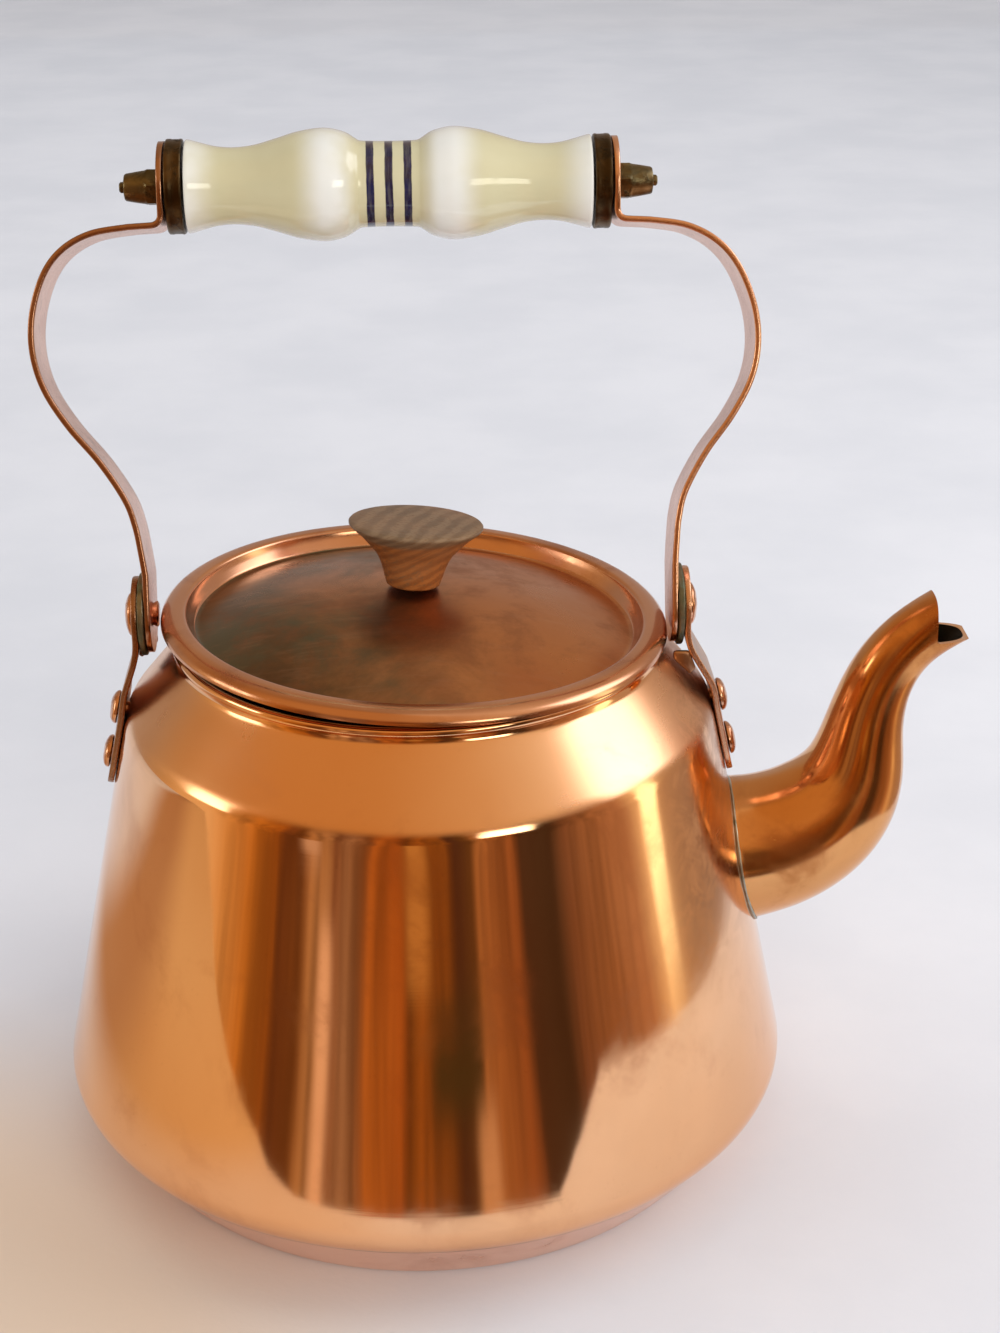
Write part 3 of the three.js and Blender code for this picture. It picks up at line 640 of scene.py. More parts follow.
STEEL = old_metal("steel_dull", (0.45, 0.44, 0.42), (0.3, 0.29, 0.28), (0.15, 0.1, 0.07), 0.35, 0.05, 0.5)
# near black inside the spout: painted shade of the tube's interior
SPOUT_INSIDE_SHADE = old_metal("spout_inside", (0.03, 0.025, 0.02), (0.018, 0.016, 0.014), (0.03, 0.04, 0.03), 0.6)
CUT = polished_copper("copper_cut_edge", (0.95, 0.66, 0.46), (0.9, 0.56, 0.36), 0.22, 0.3)
GLAZE = porcelain_glaze("porcelain_glazed")
WOOD = turned_wood("wood_turned")
LINING = tinned("tin_lining")
CLOTH = floor_cloth("floor_cloth")
# the floor cloth with painted shade at its far left, for the sheet that shows only in reflections
SHADED = floor_cloth("floor_cloth_shaded", True)


# ------------ body

def give(obj, body, material_slot, *nodes):
    """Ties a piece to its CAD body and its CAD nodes."""
    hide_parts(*nodes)
    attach(obj, body)


def by_height(obj, index, test):
    """Gives a material index to the faces whose centre, in millimetres, passes a test."""
    for face in obj.data.polygons:
        c = face.center / MM
        if test(math.hypot(c.x, c.y), c.z, face.normal):
            face.material_index = index


TO_FOOT = (Vector(FOOT) - Vector(KNUCKLE)).normalized()
SEAM = Vector(KNUCKLE) + TO_FOOT * 5


def shell_line():
    """The shell's outer line from the base seam to the foot of the bead."""
    top = Vector((NECK_FOOT[0], NECK_TOP - 1.2))
    bend = fillet(SEAM, KNUCKLE, SHOULDER, 4.4, 12)
    break_ = fillet(KNUCKLE, SHOULDER, NECK_FOOT, 3.2, 10)
    neck = fillet(SHOULDER, NECK_FOOT, top, 1.4, 5)
    return [SEAM, *bend, *divided(bend[-1], break_[0], 26), *break_,
            *divided(break_[-1], neck[0], 8), *neck]


def spout_frame(t):
    """Centre, radius and cross direction of the spout at a share of its length."""
    span = min(t, 0.9999) * (len(SPOUT_LINE) - 1)
    i = int(span)
    p = SPOUT_LINE[i].lerp(SPOUT_LINE[i + 1], span - i)
    d = SPOUT_LINE[min(i + 2, len(SPOUT_LINE) - 1)] - SPOUT_LINE[max(i - 1, 0)]
    tangent = Vector((d.x, 0, d.y)).normalized()
    return Vector((p.x, 0, p.y)), p.z, Vector((tangent.z, 0, -tangent.x))


SPOUT_LINE = spline(SPOUT_STATIONS, 24)
SPOUT_SIDES = 72
SPOUT_ROWS = 150
EVEN_PASSES = 60


def spout_point(t, angle, grow):
    """A point on the spout, round at its root and a little square at its tip."""
    centre, radius, across = spout_frame(t)
    k = min(max((t - 0.8) / 0.2, 0), 1)
    power = 2 + TIP_SQUARE * k * k * (3 - 2 * k)
    r = (radius + grow) * (abs(math.cos(angle)) ** power + abs(math.sin(angle)) ** power) ** (-1 / power)
    return centre + across * (r * math.cos(angle)) + Vector((0, r * math.sin(angle), 0))


def wall_radius(z):
    """The outer radius of the conical side wall at a height."""
    return SHOULDER[0] + (SHOULDER[1] - z) * math.tan(WALL_SLOPE)


def spout_root(angle, grow, gap):
    """The share of the spout's length where one of its lines leaves the body's wall."""
    low, high = 0.0, 0.4
    for _ in range(24):
        middle = (low + high) / 2
        p = spout_point(middle, angle, grow)
        if math.hypot(p.x, p.y) > wall_radius(p.z) + gap:
            high = middle
        else:
            low = middle
    return high


def make_body():
    bead = arc(BEAD_RING_R, NECK_TOP, BEAD_R, -74, 238, 22)
    outer = shell_line()
    inner = offset(outer, SHEET)[::-1]
    shell = lathe("body_shell_fine", [*outer, *bead, *inner], [COPPER, LINING], 224)
    (x0, z0, _), (x1, z1, _) = SPOUT_STATIONS[:2]
    drill = lathe("drill", [(0, -30), (SPOUT_HOLE_R, -30), (SPOUT_HOLE_R, 30), (0, 30)], [COPPER], 64)
    turned = Vector((x1 - x0, 0, z1 - z0)).to_track_quat("Z", "Y").to_matrix().to_4x4()
    placed(drill, turned, shift(x1, 0, z1))
    cut(shell, drill)

    def within(r, z, _normal):
        nearest = min(inner, key=lambda p: abs(p.y - z))
        return inner[-1].y - 1 <= z <= NECK_TOP - 1.5 and r < nearest.x + 0.5

    by_height(shell, 1, within)
    give(shell, "body", "copper", "body_shell")

    start = SEAM + TO_FOOT * 0.3
    band = fillet((0, 0), FOOT, KNUCKLE, 2.2, 8)
    outside = [Vector((0, 0)), *divided((0, 0), band[0], 10), *band, *divided(band[-1], start, 10), start]
    lip_r = start.x - 1.8
    lip = [Vector(p) for p in ((lip_r, start.y + 0.9), (lip_r, 27.6), (lip_r - 0.3, 28),
                               (lip_r - SHEET, 28), (lip_r - SHEET, start.y))]
    foot_in = offset([Vector((0, 0)), Vector(FOOT), Vector(KNUCKLE)], SHEET)[1]
    pan = lathe("base_pan_fine", [*outside, *lip, foot_in, Vector((0, SHEET))], [BAND, LINING], 224)
    by_height(pan, 1, lambda r, z, normal: z > 0.5 and normal.z > 0.2 or r < lip_r - SHEET + 0.1 and z > 20)
    give(pan, "body", "copper", "base_pan")


def smoothed_tube(verts, rows):
    """Evens the two walls along their length, so the tight bend shows no wrinkles."""
    size = rows * SPOUT_SIDES
    for _ in range(EVEN_PASSES):
        before = verts[:]
        for base in (0, size):
            for i in range(2, rows - 2):
                for j in range(base + i * SPOUT_SIDES, base + (i + 1) * SPOUT_SIDES):
                    verts[j] = (before[j] * 2 + before[j - SPOUT_SIDES] + before[j + SPOUT_SIDES]) / 4
    return verts


def make_spout():
    verts, rows = [], SPOUT_ROWS
    angles = [2 * math.pi * k / SPOUT_SIDES for k in range(SPOUT_SIDES)]
    roots = [spout_root(a, 0, 0.35) for a in angles]
    for grow in (0, -SPOUT_WALL):
        for i in range(rows):
            for a, root in zip(angles, roots):
                share = i / (rows - 1)
                verts.append(spout_point(root + (1 - root) * share, a, grow))
    verts = smoothed_tube(verts, rows)
    size = rows * SPOUT_SIDES
    faces = wrapped_rows(rows, SPOUT_SIDES) + wrapped_rows(rows, SPOUT_SIDES, size)
    for row in (0, (rows - 1) * SPOUT_SIDES):
        for k in range(SPOUT_SIDES):
            n = (k + 1) % SPOUT_SIDES
            faces.append((row + k, row + n, size + row + n, size + row + k))
    tube = mesh_object("spout_fine", verts, faces, [SPOUT, SPOUT_INSIDE_SHADE, CUT])
    # the inner wall takes the near-black painted shade
    wall_faces = (rows - 1) * SPOUT_SIDES
    for i in range(wall_faces, 2 * wall_faces):
        tube.data.polygons[i].material_index = 1
    corner = arc(BEAK_X + 1.2, BEAK_Z + 1.2, 1.2, 180, 270, 6)
    outline = [(BEAK_X, 200), *corner, (LIP_X, BEAK_Z), (LIP_X + 1, 120), (200, 120), (200, 200)]
    cutter = prism("beak", outline, -30, 30, [CUT], 0)
    cut(tube, cutter)
    give(tube, "body", "copper", "spout")

    verts, faces, sides = [], [], 10    # the solder ring, with this many sides round its section
    for a in angles:
        root = spout_root(a, 0.25, 0.25)
        p = spout_point(root, a, 0.25)
        outwards = Vector((p.x, p.y, 0)).normalized()
        centre, _, _ = spout_frame(root)
        away = (p - centre).normalized()
        bead = 0.42 + 0.25 * noise.noise(p * 0.25)
        for j in range(sides):
            s = 2 * math.pi * j / sides
            verts.append(p + outwards * (bead * math.cos(s)) + away * (bead * math.sin(s)))
    for k in range(SPOUT_SIDES):
        n = (k + 1) % SPOUT_SIDES
        for j in range(sides):
            m = (j + 1) % sides
            faces.append((k * sides + j, n * sides + j, n * sides + m, k * sides + m))
    ring = mesh_object("solder_line", verts, faces, [TIN], 80)
    give(ring, "body", "tin", "spout_solder_seam")


# ------------ brackets and rivets

def leg_x(z):
    """Where the inner face of a bracket's leg lies."""
    return wall_radius(z) + 0.2


def hug(obj):
    """Curves a bracket's leg round the body, fully from HUG_OVER below HUG_FROM."""
    for vertex in obj.data.vertices:
        _, y, z = vertex.co / MM
        share = min(max((HUG_FROM - z) / HUG_OVER, 0), 1)
        vertex.co.x -= share * y * y / (2 * wall_radius(z)) * MM
    return obj


def half_ring(radius, height):
    """The half width of a rounded strip end, height away from the centre of its curve."""
    return math.sqrt(max(radius ** 2 - height ** 2, 0.01))


def make_bracket(word, side):
    ear = EAR_X + side * OFF_CENTRE
    foot = BODY_RIVETS["lower"][0]
    top = PIVOT_Z + STRAP_HALF
    inside = [Vector(p) for p in ((ear, top + 2), (ear, 149.5), (leg_x(135.5), 135.5), (leg_x(100), 100))]
    upper = fillet(inside[0], inside[1], inside[2], 4.5, 10)
    lower = fillet(inside[1], inside[2], inside[3], 3.2, 8)
    line = [Vector((ear, z)) for z in round_end(PIVOT_Z, STRAP_HALF, range(90, 0, -9))]
    line += [*divided((ear, PIVOT_Z), upper[0], 4), *upper, *divided(upper[-1], lower[0], 6), *lower]
    falls = round_end(foot, -BRACKET_FOOT_R, range(9, 99, 9))
    line += [Vector((leg_x(z), z)) for z in (130, 126, 122, 119, foot, *falls)]
    centre = offset(line, STRIP / 2)

    def half(z):
        if z > PIVOT_Z:
            return half_ring(STRAP_HALF, z - PIVOT_Z)
        if z < foot:
            return half_ring(BRACKET_FOOT_R, foot - z)
        if z > LEG_WIDE_Z:
            return STRAP_HALF
        return BRACKET_FOOT_R + (STRAP_HALF - BRACKET_FOOT_R) * (z - foot) / (LEG_WIDE_Z - foot)

    leaf = hug(strip("leaf", centre, [half(p.y) for p in line], [BRACKET]))
    tip = ear - WASHER_THICK - 1.4
    outline = [(tip, STOP_TAB_TOP - 2.4), (tip, STOP_TAB_TOP), (ear + 1.4, STOP_TAB_TOP),
               (ear + 3.4, STOP_TAB_TOP - 5.3), (ear + 1.8, STOP_TAB_TOP - 7.2)]
    tab = prism("tab", outline, -STRAP_HALF, -STRAP_HALF + STRIP, [BRACKET], 0.8)
    bracket = sided(joined("bracket_%s_fine" % word, [leaf, tab]), side)
    give(bracket, "body", "strip_copper", "bracket_" + word)


def head(radius, height, base):
    """A domed rivet head with a small flat rim under it."""
    line = [(radius * 0.2, base), (radius - 0.35, base), (radius, base + 0.25)]
    for i in range(1, 12):
        a = math.pi / 2 * i / 12
        line.append((radius * math.cos(a) ** 0.85, base + 0.3 + height * math.sin(a) ** 0.9))
    return line + [(0, base + 0.3 + height)]


def make_body_rivet(word, side, name):
    z, seat = BODY_RIVETS[name]
    tail = -(SHEET + 0.7 + seat)
    base = STRIP + 0.12
    profile = [(0, tail - 1), (2.6, tail - 1), (3.2, tail - 0.5), (3.2, tail), (2.2, tail), (2.2, base),
               *head(4.7, 2.0, base)[1:]]
    seed = z + side * 7
    rivet = lathe("rivet_%s_%s_fine" % (word, name), profile, [RIVET], 48, 50, 0.16, seed)
    sided(placed(rivet, Z_TO_X, turn(-WALL_SLOPE, "Y"), shift(leg_x(z), 0, z)), side)
    give(rivet, "body", "strip_copper", "body_rivet_%s_%s" % (word, name))


def make_pivot(word, side):
    proud = 0 if side > 0 else 1.6
    base = EAR_X + STRIP + 0.12
    end = STRAP_INNER - proud + 0.1
    profile = [(0, end), (3, end), (3.6, end + 0.35), (3.4, end + 0.8), (2.6, STRAP_INNER + 1), (2.6, base),
               *head(6, 2.0, base)[1:]]
    rivet = lathe("pivot_%s_fine" % word, profile, [RIVET], 64, 50, 0.14, side * 3.3)
    start = STRAP_INNER + STRIP + 0.1
    rim = [*arc(WASHER_R - 0.4, start + 0.4, 0.4, -90, 0, 4),
           *arc(WASHER_R - 0.4, start + WASHER_THICK - 0.4, 0.4, 0, 90, 4)]
    disc = [(2.9, start), (6, start), *rim, (6, start + WASHER_THICK), (2.9, start + WASHER_THICK)]
    washer = lathe("washer_%s_fine" % word, disc, [GREEN], 72, 50, 0.1, 5 + side)
    for obj in (rivet, washer):
        placed(sided(placed(obj, Z_TO_X), side), shift(OFF_CENTRE, 0, PIVOT_Z))
    give(rivet, "body", "strip_copper", "pivot_rivet_" + word)
    give(washer, "body", "verdigris", "pivot_washer_" + word)


# ------------ lid

LID_PLACE = (turn(LID_TILT, "Y"), shift(LID_SHIFT, 0, LID_SEAT_Z))
KNOB_PLACE = (turn(KNOB_LEAN_ASIDE, "Y"), turn(-KNOB_LEAN_BACK, "X"),
              shift(KNOB_SHIFT, 0, APEX_Z + 0.85), *LID_PLACE)


def make_lid():
    valley = Vector((60.3, -3.5))
    angle = 2 * math.atan((APEX_Z - valley.y) / valley.x)
    cap = valley.x / math.sin(angle)

    def dome(shrink, steps):
        made = []
        for i in range(steps + 1):
            reach = 2.9 + (valley.x - 1.2 - 2.9) * i / steps
            made.append(Vector((reach, APEX_Z - cap + math.sqrt((cap - shrink) ** 2 - reach ** 2))))
        return made

    well_top = Vector((62.4, 0.8))
    root = Vector((60.1, -3.3))
    crown = dome(0, 40)[:-1]
    top = [*crown, *fillet(crown[-1], root, well_top, 1.3, 6),
           *divided(root, well_top, 3)[1:],
           *arc(63.7, 0.75, 1.25, 178, 90, 6),
           *divided((63.7, RIM_TOP), (RIM_FROM_R, RIM_TOP), 3)]
    for i in range(15):
        a = math.pi / 2 * i / 14
        top.append(Vector((RIM_FROM_R + (RIM_R - RIM_FROM_R) * math.sin(a),
                           (RIM_TOP + RIM_DROP) * math.cos(a) - RIM_DROP)))
    under = [Vector(p) for p in ((RIM_R - 0.2, -RIM_DROP - 0.15), (RIM_R - 0.45, -RIM_DROP - 0.1),
                                 (RIM_R - 0.6, -RIM_DROP + 0.1), (RIM_R - 1.3, 0), (64.4, 0),
                                 (63.6, -0.8), (61.8, -3.7), (60.6, -4.4))]
    lid = lathe("lid_pan_fine", [*top, *under, *dome(1, 30)[::-1][1:]], [LID, FLANGE, LINING], 224)
    by_height(lid, 1, lambda r, z, normal: r > 60.2 and z > -3.9)
    by_height(lid, 2, lambda r, z, normal: normal.z < -0.5 and r < 63)
    give(placed(lid, *LID_PLACE), "lid", "lid_copper", "lid_pan")

    side_line = spline([(7.3, 0.5), (8, 2.6), (8.9, 5.6), (10.4, 8.8), (12.9, 11.7), (15.2, 14.1),
                        (17.5, 16.0), (18.3, 16.8)], 6)
    profile = [Vector((0, 0.1)), Vector((6.8, 0.1)), *side_line, Vector((18.35, 17.3)),
               Vector((18.0, 17.7)), Vector((17.3, 17.9))]
    profile += [Vector((r, 17.9 + 0.4 * (1 - (r / 17.3) ** 2))) for r in (14, 10, 6, 3)]
    knob = lathe("knob_fine", [*profile, Vector((0, 18.3))], [WOOD], 96, 55)
    give(placed(knob, *KNOB_PLACE), "lid", "wood", "lid_knob")

    level = -2.65 - 0.8 - 0.3
    screw = lathe("knob_screw_fine", [(0, level - 2), (1.6, level - 1.95), (2.8, level - 1.6),
                                      (3.5, level - 0.8), (3.6, level), (1.6, level), (1.6, 11), (0, 12.4)],
                  [STEEL], 40, 50)
    washer = lathe("knob_washer_fine", [(2.1, -3.4), (5.8, -3.4), (6, -3.2), (6, -2.8), (5.8, -2.65),
                                        (2.1, -2.65)], [STEEL], 56, 50)
    give(placed(screw, *KNOB_PLACE), "lid", "steel", "knob_screw")
    give(placed(washer, *KNOB_PLACE), "lid", "steel", "knob_washer")


# ------------ bail

BAIL_PLACE = (shift(0, 0, -PIVOT_Z), turn(-BAIL_REST, "X"), shift(0, 0, PIVOT_Z))
GRIP_PLACE = (shift(GRIP_X, 0, GRIP_Z), *BAIL_PLACE)


def lean(z):
    """How far the bail is pushed to the left at a height."""
    share = min(max((z - LEAN_FROM) / (LEAN_TO - LEAN_FROM), 0), 1)
    return OFF_CENTRE + BAIL_LEAN * share


def make_strap(word, side):
    foot = STRAP_INNER + STRIP / 2
    bend_z = STRAP_LINE[-1][1] + 0.3
    lows = round_end(PIVOT_Z, -STRAP_HALF, range(90, 0, -9))
    line = [Vector((foot, z)) for z in (*lows, PIVOT_Z, 162, 166)]
    line += spline([(foot, LEAN_FROM), *STRAP_LINE], 8)
    line += fillet((69, bend_z), (TAB_X, bend_z), (TAB_X, 300), 3.2, 8)
    rises = round_end(GRIP_Z, TAB_R, range(0, 99, 9))
    line += [Vector((TAB_X, z)) for z in (268, *rises)]

    def half(i, z):
        if z < PIVOT_Z:
            return half_ring(STRAP_HALF, PIVOT_Z - z)
        if z > GRIP_Z:
            return half_ring(TAB_R, z - GRIP_Z)
        if i > len(line) - 14:
            return STRAP_HALF + (TAB_R - STRAP_HALF) * min(max((z - 264) / 7, 0), 1)
        return STRAP_HALF

    halves = [half(i, p.y) for i, p in enumerate(line)]
    centre = [Vector((p.x + side * lean(p.y), p.y)) for p in line]
    strap = sided(strip("strap_%s_fine" % word, centre, halves, [STRAP]), side)
    give(placed(strap, *BAIL_PLACE), "bail", "strip_copper", "strap_" + word)


def make_grip():
    line = spline(GRIP_PROFILE, 7)
    half = [Vector((p.y, p.x)) for p in line]
    other = [Vector((p.x, -p.y)) for p in half[:-1]][::-1]
    bore = [Vector((4.2, -54.1)), Vector((4.2, 54.1))]
    grip = lathe("grip_fine", [*half, *other, *bore], [GLAZE], 128, 60)
    give(placed(grip, Z_TO_X, *GRIP_PLACE), "grip", "porcelain", "grip_porcelain")

    rod = lathe("tie_rod_fine", [(0, -67), (2.1, -67), (2.5, -66.5), (2.5, 66.5), (2.1, 67), (0, 67)],
                [STEEL], 40)
    give(placed(rod, Z_TO_X, *GRIP_PLACE), "bail", "steel", "tie_rod")


def make_ferrule(word, side):
    inner = FERRULE_FACE - 4.6
    profile = [(2.8, inner - 5), (3.8, inner - 5), (3.8, inner), (FERRULE_R - 0.6, inner),
               *arc(FERRULE_R - 0.55, inner + 0.55, 0.55, -80, 0, 5),
               (FERRULE_R - 0.12, inner + 1.1), (FERRULE_R - 0.12, inner + 2.9), (FERRULE_R, inner + 3.2),
               *arc(FERRULE_R - 0.7, FERRULE_FACE - 0.7, 0.7, 0, 90, 5), (2.8, FERRULE_FACE)]
    ferrule = lathe("ferrule_%s_fine" % word, profile, [BRASS], 96, 50, 0.08, side * 2.0)
    sided(placed(ferrule, Z_TO_X), side)
    give(placed(ferrule, *GRIP_PLACE), "bail", "old_brass", "ferrule_" + word)


def make_nut(word, side):
    """A cap nut from stations of distance from its face, radius and share of the hexagon."""
    corners = 48
    verts = []
    stations = [(0, 4.6, 1), (0.35, 5.2, 1), (2.9, 5.2, 1), (3.4, 4.6, 0.4), (3.7, 4.45, 0),
                (5.8, 4.15, 0), (8.7, 3.65, 0), (9.1, 3.35, 0), (9.3, 2.4, 0), (9.5, 1.5, 0),
                (10.2, 1.45, 0), (10.55, 1.1, 0)]
    for out, r, hexed in stations:
        for k in range(corners):
            a = 2 * math.pi * k / corners
            sector = (a + math.pi / 6) % (math.pi / 3) - math.pi / 6
            flat = min(r, NUT_FLAT_R / math.cos(math.pi / 6 - abs(sector)) if hexed else r)
            reach = r + (flat - r) * hexed
            verts.append((NUT_FACE + out, reach * math.cos(a), reach * math.sin(a)))
    ends = [tuple(range(corners)), tuple(range(len(verts) - corners, len(verts)))]
    faces = wrapped_rows(len(stations), corners) + ends
    nut = sided(mesh_object("cap_nut_%s_fine" % word, verts, faces, [NUT], 32), side)
    give(placed(nut, *GRIP_PLACE), "bail", "old_brass", "cap_nut_" + word)


# ------------ set, light and camera

def make_floor():
    """A pale flat floor. Only a piece of it, like the real sheet, shows in reflections."""
    def sweep(name, outline, level, material):
        verts = [(x, y, level) for x, y in outline]
        return mesh_object(name, verts, [tuple(range(len(verts)))], [material])

    wide = sweep("floor_wide", [(-4000, -3000), (4000, -3000), (4000, 4000), (-4000, 4000)], -0.35, CLOTH)
    wide.visible_glossy = False
    sheet = sweep("floor_sheet", [
        (-1500, -60), (-720, -143), (-571, -182), (-387, -190), (-271, -201), (-200, -206), (-160, -196),
        (-120, -199), (-74, -222), (0, -238), (64, -224), (99, -204), (112, -199), (162, -222),
        (226, -240), (277, -246), (292, -218), (299, -163), (302, -130), (305, -69), (296, -16),
        (283, 34), (276, 76), (273, 118), (316, 148), (700, 420), (1500, 800), (1500, 2000),
        (-1500, 2000)], -0.15, SHADED)
    sheet.visible_camera = sheet.visible_diffuse = sheet.visible_shadow = False


# stops of degrees round Z, 0 straight in front and 90 at the spout's side, and colours
ROOM = [
    (-180, (0.46, 0.4, 0.38)), (-125, (0.4, 0.3, 0.22)), (-110, (0.55, 0.36, 0.18)),
    (-98, (0.76, 0.52, 0.26)), (-84, (0.86, 0.6, 0.32)), (-73, (0.74, 0.4, 0.13)),
    (-62, (0.62, 0.25, 0.04)), (-52, (0.44, 0.15, 0.02)), (-49, (0.2, 0.07, 0.02)),
    (-43, (0.24, 0.09, 0.02)), (-40, (0.54, 0.29, 0.12)), (-33, (0.46, 0.26, 0.12)),
    (-31, (0.25, 0.11, 0.05)), (-25, (0.42, 0.24, 0.13)), (-19, (0.3, 0.12, 0.04)),
    (-17, (0.5, 0.17, 0.03)), (-8, (0.4, 0.12, 0.02)), (-6, (0.14, 0.05, 0.01)),
    (-1, (0.38, 0.13, 0.02)), (7, (0.3, 0.11, 0.02)), (10, (0.1, 0.04, 0.02)),
    (16, (0.15, 0.07, 0.02)), (19, (0.44, 0.2, 0.07)), (32, (0.36, 0.13, 0.04)),
    (35, (0.08, 0.04, 0.02)), (46, (0.07, 0.04, 0.02)), (52, (0.22, 0.1, 0.05)),
    (63, (0.42, 0.2, 0.09)), (76, (0.52, 0.27, 0.14)), (84, (0.86, 0.62, 0.36)),
    (100, (0.5, 0.34, 0.22)), (180, (0.46, 0.4, 0.38)),
]

CEILING = [
    (-180, (0.46, 0.32, 0.2)), (-110, (0.42, 0.22, 0.08)), (-70, (0.6, 0.31, 0.1)),
    (-20, (0.6, 0.31, 0.1)), (30, (0.7, 0.44, 0.22)), (62, (0.84, 0.64, 0.44)),
    (120, (0.64, 0.46, 0.3)), (180, (0.46, 0.32, 0.2)),
]

# windows and patches in the room: left and right edge in degrees, softness of the two, low and
# high edge as the sine of the elevation, softness of the two, colour
PANES = [
    (80, 106, (10, 16), 0.42, 0.64, (0.2, 0.16), (3.2, 3.1, 3.2)),
    (87, 92, (3, 4), -0.18, 0.2, (0.12, 0.2), (2.3, 2.2, 1.5)),
    (24, 38, (4, 4), 0.125, 0.315, (0.025, 0.025), (4.2, 3.9, 3.2)),
    (-92, -78, (4, 4), 0.105, 0.375, (0.025, 0.025), (3.6, 3.4, 3.0)),
    (-34, -33, (4, 4), -0.245, -0.14, (0.025, 0.025), (0.8, 0.52, 0.34)),
    (-42, -40, (4, 4), -0.09, -0.075, (0.025, 0.025), (0.62, 0.42, 0.3)),
    (-5, -2, (4, 4), -0.12, -0.025, (0.025, 0.025), (0.52, 0.26, 0.07)),
    (3, 15, (4, 4), -0.18, -0.155, (0.025, 0.025), (0.07, 0.045, 0.015)),
    (17, 20, (4, 4), -0.245, -0.205, (0.025, 0.025), (0.6, 0.36, 0.2)),
]


def round_share(degrees):
    """A direction round Z as a share of the circle, 0.5 straight in front."""
    return (degrees + 180) / 360


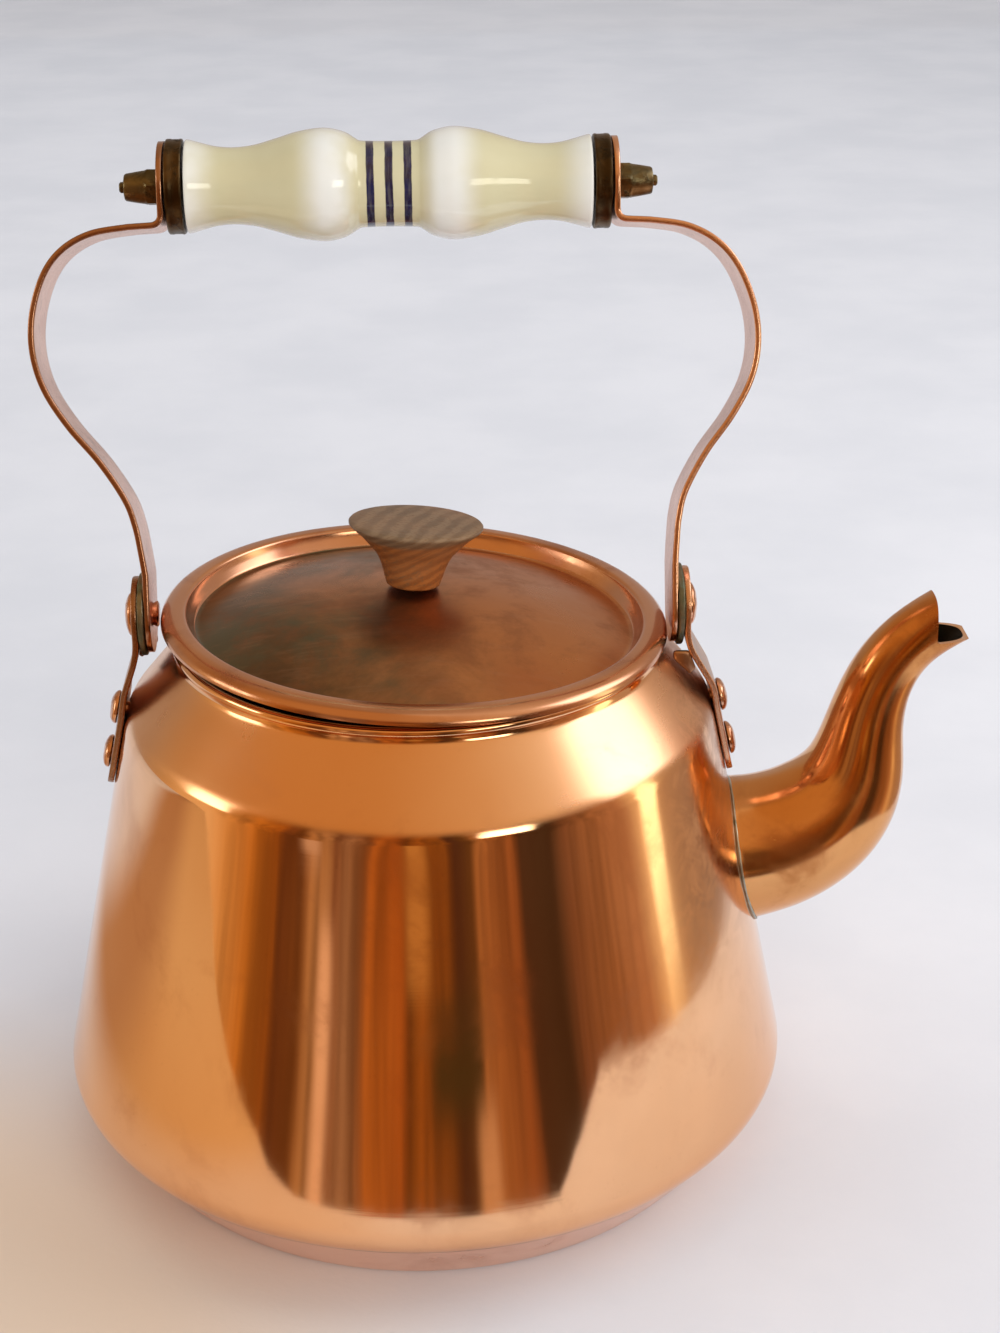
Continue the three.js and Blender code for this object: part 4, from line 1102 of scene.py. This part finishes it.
def make_world():
    """Pale to the camera. In reflections, a warm dim room in front and a bright window beside."""
    world = bpy.data.worlds.new("studio")
    scene.world = world
    world.use_nodes = True
    world.node_tree.nodes.clear()
    n = Graph(world.node_tree)

    def ramp_of(value, stops):
        ramp = n.add("ShaderNodeValToRGB")
        elements = ramp.color_ramp.elements
        while len(elements) < len(stops):
            elements.new(0.5)
        for element, (at, colour) in zip(elements, stops):
            element.position = round_share(at)
            element.color = (*colour, 1)
        n.feed(ramp.inputs[0], value)
        return ramp.outputs["Color"]

    def between(value, low, high, soft_low, soft_high):
        """1 from low to high, falling to 0 over a soft width beyond each."""
        return n.times(n.span(value, low - soft_low, low), n.span(value, high, high + soft_high, 1.0, 0.0))

    split = n.add("ShaderNodeSeparateXYZ")
    n.feed(split.inputs[0], n.add("ShaderNodeTexCoord").outputs["Generated"])
    x, y, z = split.outputs
    around = n.plus(n.math("DIVIDE", n.math("ARCTAN2", x, n.times(y, -1.0)), 2 * math.pi), 0.5)
    bend = n.add("ShaderNodeTexNoise", {"Scale": 3.0, "Detail": 3})
    around = n.plus(around, n.times(n.less(bend.outputs["Fac"], 0.5), 0.03))
    streaks = n.add("ShaderNodeCombineXYZ")
    n.feed(streaks.inputs["X"], n.times(around, 60.0))
    n.feed(streaks.inputs["Y"], n.times(z, 2.0))
    fine = n.add("ShaderNodeTexNoise", {"Scale": 1.0, "Detail": 4, "Roughness": 0.65})
    n.feed(fine.inputs["Vector"], streaks.outputs[0])
    in_front = n.span(n.math("ABSOLUTE", n.less(around, 0.5)), 0.17, 0.24, 1.0, 0.0)
    uneven = n.span(fine.outputs["Fac"], 0.35, 0.65, 0.0, 0.55)
    room = n.mix(n.times(uneven, in_front), ramp_of(around, ROOM), (0.05, 0.02, 0.008))
    light = n.mix(n.span(z, 0.2, 0.55), room, ramp_of(around, CEILING))
    for left, right, sides, low, high, ends, colour in PANES:
        across = between(around, round_share(left), round_share(right), sides[0] / 360, sides[1] / 360)
        light = n.mix(n.times(across, between(z, low, high, *ends)), light, colour)
    path = n.add("ShaderNodeLightPath")
    seen = n.mix(path.outputs["Is Glossy Ray"], (0.51, 0.515, 0.545), light)
    seen = n.mix(path.outputs["Is Camera Ray"], seen, (0.68, 0.68, 0.7))
    background = n.add("ShaderNodeBackground", {"Strength": 1.0})
    n.feed(background.inputs["Color"], seen)
    n.feed(n.add("ShaderNodeOutputWorld").inputs["Surface"], background.outputs[0])


def make_light(name, place, target, size, power, colour):
    """An area light that shows in no reflection."""
    data = bpy.data.lights.new(name, "AREA")
    data.shape = "RECTANGLE"
    data.size, data.size_y = size
    data.energy = power
    data.color = colour
    obj = linked(name, data)
    obj.location = place
    obj.rotation_euler = (Vector(target) - Vector(place)).to_track_quat("-Z", "Y").to_euler()
    obj.visible_glossy = False


def make_camera():
    pitch, yaw, roll = math.radians(24.036), math.radians(2.166), math.radians(-0.327)
    forward = Vector((math.sin(yaw) * math.cos(pitch), math.cos(yaw) * math.cos(pitch), -math.sin(pitch)))
    right = Vector((math.cos(yaw), -math.sin(yaw), 0))
    up = right.cross(forward)
    right2 = right * math.cos(roll) + up * math.sin(roll)
    up2 = up * math.cos(roll) - right * math.sin(roll)
    data = bpy.data.cameras.new("camera")
    data.sensor_width = 36
    data.lens = 63.13
    data.clip_start = 0.01
    data.clip_end = 20
    obj = linked("camera", data)
    basis = Matrix((right2, up2, -forward)).transposed().to_4x4()
    obj.matrix_world = Matrix.Translation((0, -0.59455, 0.40513)) @ basis
    scene.camera = obj


make_body()
make_spout()
make_lid()
make_grip()
for word, side in (("right", 1), ("left", -1)):
    make_bracket(word, side)
    make_pivot(word, side)
    make_strap(word, side)
    make_ferrule(word, side)
    make_nut(word, side)
    for name in BODY_RIVETS:
        make_body_rivet(word, side, name)

make_floor()
make_world()
make_light("window", (1.15, 0.05, 0.85), (0, 0, 0.1), (0.9, 1.1), 7, (0.97, 0.97, 1.0))
make_light("overhead", (-0.1, 1.1, 1.6), (0, 0.75, 0), (2.4, 1.8), 12, (0.95, 0.97, 1.0))
make_light("front", (0.35, -1.25, 0.6), (0.03, -0.1, 0), (1.4, 0.7), 11, (1.0, 0.97, 0.95))
make_camera()
scene.view_settings.view_transform = "Standard"
scene.view_settings.look = "None"
